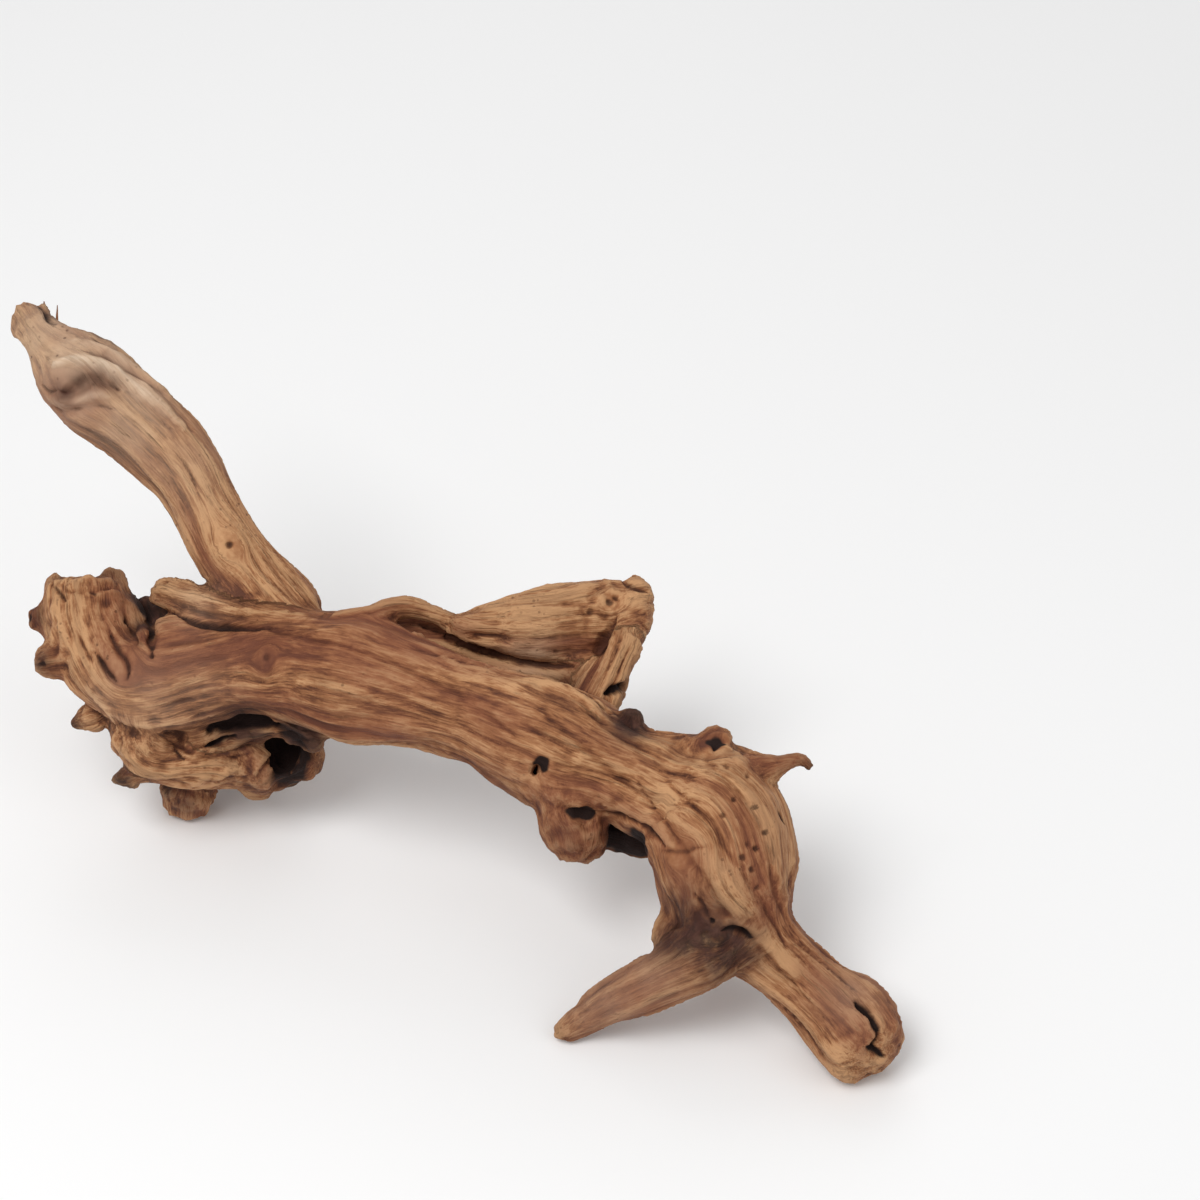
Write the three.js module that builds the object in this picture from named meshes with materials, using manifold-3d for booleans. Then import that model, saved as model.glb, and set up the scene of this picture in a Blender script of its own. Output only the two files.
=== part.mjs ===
// A piece of driftwood: one weathered root, lying on its lowest knobs.
// A thick trunk slopes down from a gnarled burl at its left end to a split foot at its right end. An arm rises
// behind it, a fin runs along its far side across a deep slot, and short roots and spurs stand out of it.
// Millimetres, +Z up. The wood grew in one piece, so it is one solid: its limbs are lofted along curves with
// their own ribs and furrows, joined, and then cut by the cracks, knot holes and hollows.
import * as THREE from "three";
import { mergeVertices } from "three/addons/utils/BufferGeometryUtils.js";
import Module from "manifold-3d";

const wasm = await Module();
wasm.setup();

// How the piece is measured
// Every limb is measured as someone who stands in front of it and looks down on it sees it. A place is
// [across, rise, height]: millimetres to the right of and above the aim point on a card held square to the line
// of sight there, and the height above the floor, which says how far behind or before the card the place is.
const SIGHT_ELEVATION = THREE.MathUtils.degToRad(40);
const SIGHT_DISTANCE = 850;
const AIM = new THREE.Vector3(40.3, 104.6, 0);
const CARD_RIGHT = new THREE.Vector3(1, 0, 0);
const CARD_UP = new THREE.Vector3(0, Math.sin(SIGHT_ELEVATION), Math.cos(SIGHT_ELEVATION));
const TO_EYE = new THREE.Vector3(0, -Math.cos(SIGHT_ELEVATION), Math.sin(SIGHT_ELEVATION));
const EYE = AIM.clone().addScaledVector(TO_EYE, SIGHT_DISTANCE);

// The place in the part's frame, and how much larger than on the card a thing there really is.
function place(across, rise, height) {
  const ray = AIM.clone().addScaledVector(CARD_RIGHT, across).addScaledVector(CARD_UP, rise).sub(EYE);
  const scale = (height - EYE.z) / ray.z;
  return { point: EYE.clone().addScaledVector(ray, scale), scale };
}

// Ribs and furrows
// The ribs wander round the limb as they run along it, by this many radians over these lengths, and the surface
// swells and sinks between them.
const RIB_MEAN = 0.6;
const WANDER_LONG = { turn: 0.175, length: 19 };
const WANDER_SHORT = { turn: 0.105, length: 8.3 };
const SHORT_PHASE = 2.1;
const LUMP = { height: 0.6, long: 11, short: 6.7 };

// Height of the weathered surface, as a share of the rib's height, over the smooth section of a limb.
function relief(angle, along, seed, count) {
  const wander =
    WANDER_LONG.turn * Math.sin(along / WANDER_LONG.length + seed) +
    WANDER_SHORT.turn * Math.sin(along / WANDER_SHORT.length + SHORT_PHASE * seed);
  const ribs = Math.abs(Math.sin(0.5 * count * (angle + wander) + seed));
  const swell = Math.sin(2 * angle + along / LUMP.long + seed);
  const dimple = Math.sin(along / LUMP.short + 3 * angle - seed);
  return ribs - RIB_MEAN + LUMP.height * swell * dimple;
}

// A limb: a closed loft through its stations, each [across, rise, height, half breadth, half depth].
// ends: how long the two end caps are against the half breadth there, so 1 is round and 0.3 is a broken stub.
const CAP_CROWDING = 0.4;
const CURVE_TENSION = 0.5;
function limb(stations, { sides = 14, rings = 14, rib = 0.35, count = 7, seed = 1, ends = [1, 1] } = {}) {
  const seen = stations.map(([across, rise, height, half, depth = half]) => {
    const { point, scale } = place(across, rise, height);
    return { point, size: new THREE.Vector3(half * scale, depth * scale, 0) };
  });
  const line = new THREE.CatmullRomCurve3(seen.map((s) => s.point), false, "catmullrom", CURVE_TENSION);
  const sizes = new THREE.CatmullRomCurve3(seen.map((s) => s.size), false, "catmullrom", CURVE_TENSION);
  const length = line.getLength();
  const shape = new THREE.SphereGeometry(1, sides, rings);
  const vertices = shape.getAttribute("position");
  const v = new THREE.Vector3();
  for (let i = 0; i < vertices.count; i++) {
    v.fromBufferAttribute(vertices, i);
    const turn = Math.acos(THREE.MathUtils.clamp(v.y, -1, 1)) / Math.PI;
    const share = THREE.MathUtils.lerp(turn, 0.5 - 0.5 * Math.cos(Math.PI * turn), CAP_CROWDING);
    const t = line.getUtoTmapping(share);
    const centre = line.getPoint(t);
    const tangent = line.getTangent(t);
    const side = tangent.clone().cross(TO_EYE).normalize();
    const front = tangent.clone().cross(side).normalize();
    const size = sizes.getPoint(t);
    const along = share * length;
    const cap = Math.min(
      endRound(along, ends[0] * seen[0].size.x),
      endRound(length - along, ends[1] * seen.at(-1).size.x),
    );
    const angle = Math.atan2(v.z, v.x);
    const high = rib * relief(angle, along, seed, count);
    v.copy(centre)
      .addScaledVector(side, Math.cos(angle) * (size.x + high) * cap)
      .addScaledVector(front, Math.sin(angle) * (size.y + high) * cap);
    vertices.setXYZ(i, v.x, v.y, v.z);
  }
  return solidOf(shape);
}

// The share of a limb's breadth that is left at a distance from its end.
function endRound(distance, cap) {
  const reach = THREE.MathUtils.clamp(distance / cap, 0, 1);
  return Math.sqrt(1 - (1 - reach) ** 2);
}

// A ball or an egg, for cutting knot holes and hollows, with its own half sizes across, into and up the card.
const PIT_RINGS_A_SIDE = 0.8;
function pit([across, rise, height], [half, into, tall], sides = 10) {
  const { point, scale } = place(across, rise, height);
  const shape = new THREE.SphereGeometry(1, sides, Math.round(sides * PIT_RINGS_A_SIDE));
  const basis = new THREE.Matrix4().makeBasis(
    CARD_RIGHT.clone().multiplyScalar(half * scale),
    TO_EYE.clone().multiplyScalar(-into * scale),
    CARD_UP.clone().multiplyScalar(tall * scale),
  );
  return solidOf(shape.applyMatrix4(basis).translate(point.x, point.y, point.z));
}

// Solids and meshes
const SEAM_GAP = 1e-3;
function solidOf(shape) {
  shape.deleteAttribute("normal");
  shape.deleteAttribute("uv");
  const merged = mergeVertices(shape, SEAM_GAP);
  return new wasm.Manifold(
    new wasm.Mesh({
      numProp: 3,
      vertProperties: new Float32Array(merged.getAttribute("position").array),
      triVerts: new Uint32Array(merged.index.array),
    }),
  );
}

function geometryOf(solid) {
  const { vertProperties, triVerts } = solid.getMesh();
  const shape = new THREE.BufferGeometry();
  shape.setAttribute("position", new THREE.BufferAttribute(new Float32Array(vertProperties), 3));
  shape.setIndex(new THREE.BufferAttribute(new Uint32Array(triVerts), 1));
  shape.computeVertexNormals();
  return shape;
}

const joined = (solids) => solids.reduce((whole, solid) => whole.add(solid));
const cut = (whole, cutters) => cutters.reduce((left, cutter) => left.subtract(cutter), whole);

// The trunk, from inside the burl to the foot's toes
const trunk = limb(
  [
    [-143, -21, 50, 8],
    [-136, -20, 51, 12.4],
    [-128, -19.2, 52, 15],
    [-120, -18.8, 52, 15.8],
    [-108, -18.4, 53, 14.6],
    [-90, -20.2, 54, 16],
    [-73, -24, 55, 18.8],
    [-55, -28.5, 56, 15.6],
    [-37, -34, 56, 14],
    [-22, -40.4, 54, 17.8],
    [-7, -46.5, 52, 18],
    [7, -51, 50, 14.2],
    [18, -55.6, 48, 16],
    [31, -61.4, 45, 21.2],
    [35.5, -71.5, 41, 20.8],
    [37.6, -81, 37, 20.6],
    [40, -90, 32, 19],
    [45, -99.6, 27, 13.8],
    [52, -106.8, 23, 10.8],
    [59, -112.5, 19, 10.5],
    [66, -119, 16, 11],
    [71.8, -125, 12.4, 12],
    [76.6, -130, 10.6, 12.8],
    [81, -134.8, 10, 12.4],
    [84, -139, 9.6, 10.6],
  ],
  { sides: 27, rings: 44, rib: 1, count: 7, seed: 1.3, ends: [1, 0.6] },
);

// The foot's second toe, right of the slit
const toe = limb(
  [
    [71, -115, 18, 6],
    [78.8, -119.6, 16, 6.2],
    [83.6, -124.6, 13, 5.4],
    [85, -130.6, 10, 4.6],
  ],
  { sides: 10, rings: 10, seed: 2.2, ends: [1, 0.8] },
);

// The spur that props the trunk at the front
const spur = limb(
  [
    [41, -100, 31, 11.5],
    [27, -109.6, 24, 9.4],
    [14, -116.4, 17, 8],
    [4.6, -120.4, 11, 6.5],
    [-4.3, -125.4, 5.6, 4.8],
    [-9.5, -129, 3.1, 3.8],
    [-13.6, -131.6, 2.2, 3],
  ],
  { sides: 12, rings: 14, rib: 0.5, count: 5, seed: 0.4, ends: [1, 0.5] },
);
const spurHeel = limb(
  [
    [28, -92, 29, 6],
    [21.6, -98.5, 26, 5],
    [18.6, -105.6, 23, 3.6],
  ],
  { sides: 10, rings: 7, seed: 2.9 },
);

// The thin twig at the right, and the nub beside the upper knot hole
const twig = limb(
  [
    [42, -54, 52, 8],
    [50.3, -51, 53, 4.2],
    [55, -49.4, 54, 3],
    [59.6, -47.2, 55, 2.3],
    [62.4, -48.6, 54, 1.9],
    [63.2, -52.4, 52, 1.2],
  ],
  { sides: 8, rings: 13, rib: 0.15, count: 5, seed: 0.9 },
);
const nub = limb(
  [
    [29.5, -48.5, 55, 9.6],
    [34.6, -43.4, 57, 5.8],
    [36.8, -38.2, 60, 3.2],
  ],
  { sides: 9, rings: 7, seed: 1.9 },
);

// The knob that hangs under the trunk, and the wall of the hollow beside it
const knob = limb(
  [
    [-11, -56.4, 46, 13.6],
    [-8.6, -65, 40, 10.4],
    [-7, -71.5, 36, 8.9],
    [-6.6, -78.9, 32, 8],
  ],
  { sides: 12, rings: 10, rib: 0.4, count: 5, seed: 3.1 },
);
const knobWeb = limb(
  [
    [-3, -68, 33, 5],
    [7, -69.4, 30, 4.8],
    [18, -72, 31, 6],
  ],
  { sides: 10, rings: 8, seed: 0.3 },
);

// The fin behind the trunk: a thin ridge that swells into a blunt panel with a high right shoulder
const ridge = limb(
  [
    [-82, -8, 66, 3],
    [-68, -5.6, 68, 3.4],
    [-60, -2, 69, 3.6],
    [-51, -3.8, 68, 3],
    [-42, -7.6, 66, 3],
    [-34, -9, 65, 4],
  ],
  { sides: 9, rings: 14, rib: 0.2, count: 5, seed: 0.6 },
);
const fin = limb(
  [
    [-46, -7.5, 66, 2.6, 4],
    [-38.7, -8, 66, 4.2, 5],
    [-30.6, -7.9, 65, 7.2, 6],
    [-23.4, -8.2, 65, 9.9, 7],
    [-16, -7.7, 64, 11, 7.5],
    [-6, -7.1, 62, 12, 8],
    [3, -6.5, 60, 12, 8],
    [9.5, -5.5, 58, 11, 7],
  ],
  { sides: 16, rings: 15, rib: 0.5, count: 5, seed: 2.4, ends: [0.6, 0.4] },
);
const shoulder = limb(
  [
    [8, 5, 65, 3],
    [10.6, 2.6, 65, 4.6],
    [9.4, -6, 63, 5.8],
    [6.6, -14, 61, 5.4],
    [3.8, -20.5, 59, 5.2],
    [0.4, -28, 55, 6.4],
    [-4, -36, 51, 8],
  ],
  { sides: 10, rings: 14, rib: 0.4, count: 5, seed: 1.1, ends: [0.5, 1] },
);
// The floor of the slot, between the trunk and the fin
const web = limb(
  [
    [-72, -10, 58, 6],
    [-58, -10, 57, 7],
    [-42, -13, 55, 8],
    [-24, -18, 53, 9],
    [-8, -21, 52, 9],
    [2, -25.5, 54, 8],
    [7, -30, 53, 6.4],
  ],
  { sides: 10, rings: 11, rib: 0.4, count: 5, seed: 2 },
);
const notchNub = limb(
  [
    [6, -41, 57, 6],
    [9, -36.6, 60, 4.2],
    [10.4, -32.2, 63, 2.8],
  ],
  { sides: 8, rings: 6, seed: 2.7, ends: [1, 0.4] },
);

// The lip along the top of the trunk, over the long crack
const lip = limb(
  [
    [-134.3, 3.2, 64, 3.4],
    [-130, 1.9, 65, 4.4],
    [-122.5, -0.3, 65, 5.3],
    [-113.5, -2.4, 66, 5.4],
    [-103, -4.2, 66, 4.6],
    [-90, -6.8, 66, 3.6],
    [-76, -9.8, 65, 2.4],
  ],
  { sides: 10, rings: 14, rib: 0.3, count: 5, seed: 1.6, ends: [0.5, 1] },
);

// The arm that rises to the left behind the trunk
const arm = limb(
  [
    [-87, -14, 54, 11],
    [-96, -5, 60, 12.6],
    [-104.6, 5.5, 67, 11.4],
    [-112.6, 17, 76, 9.6],
    [-119.6, 29.8, 84, 9.6],
    [-124.6, 38.6, 90, 10.8],
    [-133, 48.2, 97, 11.6],
    [-141, 55.4, 103, 11.8],
    [-149.4, 62, 108, 13],
    [-157, 68.6, 112, 12],
    [-163.2, 74.4, 115, 8.2],
    [-167.4, 78.8, 117, 6],
    [-171.4, 83, 118, 4.8],
    [-173.8, 87.6, 119, 3.4],
  ],
  { sides: 16, rings: 24, rib: 0.7, count: 5, seed: 0.2, ends: [1, 0.4] },
);
// The arm's knuckle and its splintered end
const knuckle = limb(
  [
    [-154, 66, 110, 7.5],
    [-162, 64.6, 109, 5.4],
    [-166.4, 64, 108, 3.4],
  ],
  { sides: 9, rings: 7, seed: 0.7 },
);
const splinters = [
  [[-169, 80, 117, 4.4], [-173, 80.6, 117, 3], [-175.8, 82, 117, 2]],
  [[-166, 80, 116, 4], [-167.2, 85, 118, 2.4], [-166.8, 88.8, 119, 1.4]],
].map((stations, i) => limb(stations, { sides: 8, rings: 6, rib: 0.1, seed: 2.3 + i }));

// The burl at the left end: wood that flows down from its flat top and round into the trunk
const burl = limb(
  [
    [-154.6, 5, 60, 11.6],
    [-154.6, 1, 58, 12.6],
    [-153.4, -5, 56, 13.8],
    [-151, -12, 53, 14],
    [-147, -19, 50, 13.6],
    [-140.5, -24.6, 48, 12.8],
    [-131, -27, 47, 11.8],
    [-118, -25.4, 48, 10.6],
    [-104, -23, 50, 10],
  ],
  { sides: 20, rings: 26, rib: 1.1, count: 7, seed: 5.2, ends: [0.2, 1] },
);
const burlNubs = [
  [[-160.5, -2, 57, 6.5], [-163, 3.5, 59, 4], [-163.6, 7.6, 60, 2.6]],
  [[-147.5, -2, 58, 7], [-146.4, 3.5, 60, 5], [-145.6, 8.4, 61, 3.4]],
  [[-162, -4.8, 56, 5], [-168, -5.2, 56, 3], [-171.9, -5.3, 56, 2.2]],
  [[-158, -16.5, 52, 8], [-164.6, -18.6, 50, 5.6], [-169, -18.8, 49, 3.4]],
].map((stations, i) => limb(stations, { sides: 9, rings: 7, seed: 1 + i, ends: [1, 0.5] }));
// The dark neck between the burl and the lip
const neck = limb(
  [
    [-149, -8, 52, 8],
    [-139, -7.4, 52, 8],
    [-128, -8, 53, 8],
  ],
  { sides: 9, rings: 7, seed: 0.5 },
);

// The root mass under the burl, which stands on the floor
const root = limb(
  [
    [-139, -33, 42, 11, 10],
    [-137, -40, 33, 9.6, 13],
    [-132, -45, 26, 10, 15],
    [-121, -47.4, 22, 9.2, 16],
    [-109, -47, 21, 8.8, 16],
    [-98, -46.6, 23, 9.4, 13],
    [-91, -46.2, 26, 7, 9],
    [-84.6, -46, 28, 4.4, 6],
  ],
  { sides: 18, rings: 20, rib: 1.1, count: 7, seed: 2.2, ends: [1, 0.5] },
);
const rootNeck = limb(
  [
    [-122, -24, 48, 11],
    [-118, -34, 36, 11],
    [-114, -43, 25, 9],
  ],
  { sides: 12, rings: 9, rib: 0.5, count: 5, seed: 3.6 },
);
// The rim that joins the root mass to the trunk, over the round hollow
const rootRim = limb(
  [
    [-118, -40, 33, 6],
    [-106, -37, 37, 5.4],
    [-94, -37, 40, 5.6],
    [-87.4, -40, 40, 4.6],
    [-85, -46, 34, 3],
  ],
  { sides: 9, rings: 12, rib: 0.3, count: 5, seed: 0.8 },
);
const rootNubs = [
  [[-148, -33.6, 38, 7], [-154.6, -36, 35, 4], [-159.4, -37.7, 33, 1.8]],
  [[-134, -48.4, 25, 7], [-140.6, -52.4, 21, 4.2], [-146, -54.2, 18, 2.4]],
  [[-123.5, -50, 18, 9.4], [-123.5, -56.4, 8, 8], [-123.5, -60, 1, 6.6], [-123.5, -61.4, -2, 6]],
  [[-102, -50, 18, 7.4], [-103.2, -55, 12, 5.4], [-103.8, -59.4, 8, 2.6]],
].map((stations, i) => limb(stations, { sides: 10, rings: 7, rib: 0.4, count: 5, seed: 2 + i, ends: [1, 0.6] }));
// The part of the root mass that reaches back under the trunk, with a short toe of its own
const backRoot = limb(
  [
    [-118, -38, 30, 10],
    [-112, -31, 24, 10.6],
    [-103, -25.5, 17, 8.8],
    [-97, -22, 10, 8],
    [-100, -17.6, 4, 7.6],
    [-103, -15, -2, 6.6],
  ],
  { sides: 11, rings: 14, rib: 0.8, count: 5, seed: 1.4, ends: [1, 0.7] },
);
const backToe = limb(
  [
    [-101, -25.5, 17, 7],
    [-111, -20.6, 10, 5.4],
    [-120, -18.6, 5.4, 4.2],
    [-127, -19.6, 3, 2.6],
  ],
  { sides: 8, rings: 8, rib: 0.5, count: 5, seed: 2.6, ends: [1, 0.7] },
);

const wood = joined([
  trunk, toe, spur, spurHeel, twig, nub, knob, knobWeb, ridge, fin, shoulder, web, notchNub, lip, arm, knuckle,
  ...splinters, burl, ...burlNubs, neck, root, rootNeck, rootRim, ...rootNubs, backRoot, backToe,
]);

// What the years have taken out: cracks, knot holes and hollows
const longCrack = limb(
  [[-135, -0.6, 70, 1, 9], [-128, -4.6, 70, 1.6, 10], [-118, -8, 70, 1.3, 9], [-101, -9, 70, 0.6, 6]],
  { sides: 7, rings: 11, rib: 0 },
);
const slot = limb(
  [
    [-58, -7.4, 66, 1, 5],
    [-50, -10.8, 64, 2, 8],
    [-40, -14.4, 62, 2.4, 9],
    [-28, -18.4, 61, 2, 9],
    [-16, -20.6, 60, 1.5, 8],
    [-6, -20.2, 60, 0.7, 5],
  ],
  { sides: 9, rings: 14, rib: 0 },
);
const burlGap = limb(
  [[-138.6, 8, 66, 3, 10], [-138, 0, 64, 3.2, 10], [-135, -8, 64, 1.8, 8], [-133.6, -15, 64, 0.9, 5]],
  { sides: 9, rings: 10, rib: 0 },
);
const footSlit = limb(
  [[75, -120, 26, 0.7, 5], [79, -124.6, 22, 1.1, 6], [82, -130.4, 20, 1.2, 7], [82.6, -141, 17, 1.5, 8]],
  { sides: 8, rings: 10, rib: 0 },
);
const rootHollow = pit([-96.2, -46, 31], [6.8, 14, 7.2], 14);
const rootSlit = limb(
  [[-126, -40, 40, 1, 5], [-114, -37.6, 42, 1.6, 6], [-100, -35.4, 45, 1.8, 7]],
  { sides: 8, rings: 9, rib: 0 },
);
const knotHoles = [
  pit([-19, -50.6, 55], [2.2, 7, 3]),
  pit([-6, -62.8, 47.5], [3.9, 6, 2.1]),
  pit([34.2, -44.8, 62.4], [2, 7, 2.8]),
];

// The floor, which cuts the lowest knobs flat
const FLOOR = { breadth: 600, depth: 100 };
const floorBlock = solidOf(
  new THREE.BoxGeometry(FLOOR.breadth, FLOOR.breadth, FLOOR.depth).translate(0, 0, -FLOOR.depth / 2),
);

const driftwood = cut(wood, [
  longCrack, slot, burlGap, footSlit, rootHollow, rootSlit, ...knotHoles, floorBlock,
]);

const WOOD_TAN = 0xa9754a;
const weathered = new THREE.MeshStandardMaterial({ color: WOOD_TAN, roughness: 0.85, metalness: 0 });
const mesh = new THREE.Mesh(geometryOf(driftwood), weathered);
mesh.name = "driftwood";

const part = new THREE.Group();
part.add(mesh);

export default part;
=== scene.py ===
"""A piece of driftwood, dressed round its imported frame: one weathered root on a plain pale floor."""

import itertools
import math

import bmesh
import bpy
import numpy as np
from bpy.props import FloatProperty, FloatVectorProperty, IntProperty, PointerProperty
from mathutils import Matrix, Vector
from mathutils.bvhtree import BVHTree


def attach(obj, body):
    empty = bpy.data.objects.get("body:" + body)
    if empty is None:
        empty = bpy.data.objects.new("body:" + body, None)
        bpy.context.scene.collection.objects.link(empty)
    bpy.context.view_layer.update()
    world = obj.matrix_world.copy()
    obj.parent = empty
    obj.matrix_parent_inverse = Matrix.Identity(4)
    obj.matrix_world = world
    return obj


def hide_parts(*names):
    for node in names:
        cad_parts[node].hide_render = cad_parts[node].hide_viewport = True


bl_info = {
    "name": "Driftwood Piece",
    "version": (1, 0, 0),
    "blender": (4, 5, 0),
    "location": "View3D > Sidebar > Driftwood",
    "description": "Carves and paints a weathered piece of driftwood and sets a plain stage round it",
    "category": "Object",
}

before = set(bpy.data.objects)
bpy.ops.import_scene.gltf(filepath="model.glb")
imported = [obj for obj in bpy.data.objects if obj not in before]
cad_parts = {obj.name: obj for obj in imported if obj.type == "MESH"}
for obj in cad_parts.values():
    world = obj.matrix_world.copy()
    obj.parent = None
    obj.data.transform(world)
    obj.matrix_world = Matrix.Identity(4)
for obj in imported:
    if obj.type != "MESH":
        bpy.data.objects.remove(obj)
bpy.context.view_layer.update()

# How the piece is measured
# A place on the card is (across, rise): metres to the right of and above the aim point, on a card held
# square to the line of sight of someone who stands in front of the piece and looks down on it.
SIGHT_ELEVATION = math.radians(40)
SIGHT_DISTANCE = 0.85
AIM = Vector((0.0403, 0.1046, 0.0))
CARD_UP = Vector((0.0, math.sin(SIGHT_ELEVATION), math.cos(SIGHT_ELEVATION)))
TO_EYE = Vector((0.0, -math.cos(SIGHT_ELEVATION), math.sin(SIGHT_ELEVATION)))
EYE = AIM + TO_EYE * SIGHT_DISTANCE

# The lines that the grain follows: (across, rise, height above the floor, radius) along each limb
TRUNK_FLOW = [
    (-0.1546, 0.005, 0.06, 0.0116), (-0.1534, -0.005, 0.056, 0.0138), (-0.151, -0.012, 0.053, 0.014),
    (-0.147, -0.019, 0.05, 0.0136), (-0.1405, -0.0246, 0.048, 0.0128), (-0.131, -0.0265, 0.048, 0.013),
    (-0.118, -0.023, 0.05, 0.0145), (-0.104, -0.0205, 0.052, 0.0148), (-0.09, -0.0205, 0.054, 0.016),
    (-0.073, -0.024, 0.055, 0.0188), (-0.055, -0.0285, 0.056, 0.0156), (-0.037, -0.034, 0.056, 0.014),
    (-0.022, -0.0404, 0.054, 0.0178), (-0.007, -0.0465, 0.052, 0.018), (0.007, -0.051, 0.05, 0.0145),
    (0.018, -0.0556, 0.048, 0.016), (0.03, -0.0614, 0.045, 0.0205), (0.0355, -0.0715, 0.041, 0.0208),
    (0.0376, -0.081, 0.037, 0.0206), (0.04, -0.09, 0.032, 0.019), (0.045, -0.0996, 0.027, 0.0138),
    (0.052, -0.1068, 0.023, 0.0108), (0.059, -0.1125, 0.019, 0.0105), (0.066, -0.119, 0.016, 0.011),
    (0.0718, -0.125, 0.0124, 0.012), (0.0766, -0.13, 0.0106, 0.0128), (0.084, -0.139, 0.0096, 0.0106),
]
LIMB_FLOWS = {
    "arm": [(-0.087, -0.014, 0.054, 0.011), (-0.096, -0.005, 0.06, 0.0126),
        (-0.1046, 0.0055, 0.067, 0.0114), (-0.1126, 0.017, 0.076, 0.0096), (-0.1196, 0.0298, 0.084, 0.0096),
        (-0.1246, 0.0386, 0.09, 0.0108), (-0.133, 0.0482, 0.097, 0.0116), (-0.141, 0.0554, 0.103, 0.0118),
        (-0.1494, 0.062, 0.108, 0.013), (-0.157, 0.0686, 0.112, 0.012), (-0.1632, 0.0744, 0.115, 0.0082),
        (-0.1674, 0.0788, 0.117, 0.006), (-0.1738, 0.0876, 0.119, 0.0034)],
    "lip": [(-0.1343, 0.0032, 0.064, 0.0034), (-0.1225, -0.0003, 0.065, 0.0053),
        (-0.103, -0.0042, 0.066, 0.0046), (-0.09, -0.0068, 0.066, 0.0036),
        (-0.076, -0.0098, 0.065, 0.0024)],
    "ridge": [(-0.082, -0.008, 0.066, 0.003), (-0.068, -0.0056, 0.068, 0.0034),
        (-0.06, -0.002, 0.069, 0.0036), (-0.051, -0.0038, 0.068, 0.003), (-0.0387, -0.008, 0.066, 0.0042),
        (-0.0306, -0.0079, 0.065, 0.0066), (-0.016, -0.0077, 0.064, 0.0092),
        (0.003, -0.0055, 0.061, 0.0106), (0.011, -0.004, 0.06, 0.01)],
    "shoulder": [(0.0, -0.004, 0.062, 0.003), (0.008, -0.009, 0.062, 0.0044),
        (0.0066, -0.014, 0.061, 0.005), (0.0038, -0.0205, 0.059, 0.0052), (0.0004, -0.028, 0.055, 0.0064),
        (-0.004, -0.036, 0.051, 0.008)],
    "web": [(-0.072, -0.01, 0.058, 0.006), (-0.042, -0.013, 0.055, 0.008), (-0.008, -0.02, 0.051, 0.009),
        (0.003, -0.022, 0.05, 0.007)],
    "spur": [(0.041, -0.1, 0.031, 0.0115), (0.027, -0.1096, 0.024, 0.0094), (0.014, -0.1164, 0.017, 0.008),
        (0.0046, -0.1204, 0.011, 0.0065), (-0.0043, -0.1254, 0.0056, 0.0048),
        (-0.0136, -0.1316, 0.0022, 0.003)],
    "heel": [(0.028, -0.092, 0.029, 0.006), (0.0216, -0.0985, 0.026, 0.005),
        (0.0186, -0.1056, 0.023, 0.0036)],
    "twig": [(0.042, -0.054, 0.052, 0.008), (0.0503, -0.051, 0.053, 0.0042), (0.055, -0.0494, 0.054, 0.003),
        (0.0596, -0.0472, 0.055, 0.0023), (0.0624, -0.0486, 0.054, 0.0019),
        (0.0632, -0.0524, 0.052, 0.0012)],
    "nub": [(0.0295, -0.0485, 0.055, 0.0096), (0.0368, -0.0382, 0.06, 0.0032)],
    "notch nub": [(0.006, -0.041, 0.057, 0.006), (0.0104, -0.0322, 0.063, 0.0028)],
    "knob": [(-0.011, -0.0564, 0.046, 0.0136), (-0.0086, -0.065, 0.04, 0.0104),
        (-0.007, -0.0715, 0.036, 0.0089), (-0.0066, -0.0789, 0.032, 0.008)],
    "knob web": [(-0.003, -0.068, 0.033, 0.005), (0.007, -0.0694, 0.03, 0.0048),
        (0.018, -0.072, 0.031, 0.006)],
    "toe": [(0.071, -0.115, 0.018, 0.006), (0.0788, -0.1196, 0.016, 0.0062),
        (0.085, -0.1306, 0.01, 0.0046)],
    "root": [(-0.139, -0.033, 0.042, 0.0105), (-0.137, -0.04, 0.033, 0.011), (-0.132, -0.045, 0.026, 0.012),
        (-0.121, -0.0474, 0.022, 0.012), (-0.109, -0.047, 0.021, 0.012), (-0.098, -0.0466, 0.023, 0.011),
        (-0.0846, -0.046, 0.028, 0.005)],
    "root rim": [(-0.118, -0.04, 0.033, 0.006), (-0.106, -0.037, 0.037, 0.0054),
        (-0.094, -0.037, 0.04, 0.0056), (-0.085, -0.046, 0.034, 0.003)],
    "root heel": [(-0.1235, -0.05, 0.018, 0.0094), (-0.1235, -0.0614, -0.002, 0.006)],
    "root nub": [(-0.134, -0.0484, 0.025, 0.007), (-0.146, -0.0542, 0.018, 0.0024)],
    "whorl nub": [(-0.148, -0.0336, 0.038, 0.007), (-0.1594, -0.0377, 0.033, 0.0018)],
    "burl nub": [(-0.158, -0.0165, 0.052, 0.008), (-0.169, -0.0188, 0.049, 0.0034)],
    "back root": [(-0.118, -0.038, 0.03, 0.01), (-0.112, -0.031, 0.024, 0.0106),
        (-0.103, -0.0255, 0.017, 0.0088), (-0.097, -0.022, 0.01, 0.008), (-0.1, -0.0176, 0.004, 0.0076),
        (-0.103, -0.015, -0.002, 0.0066)],
    "back toe": [(-0.101, -0.0255, 0.017, 0.007), (-0.127, -0.0196, 0.003, 0.0026)],
}

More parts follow.
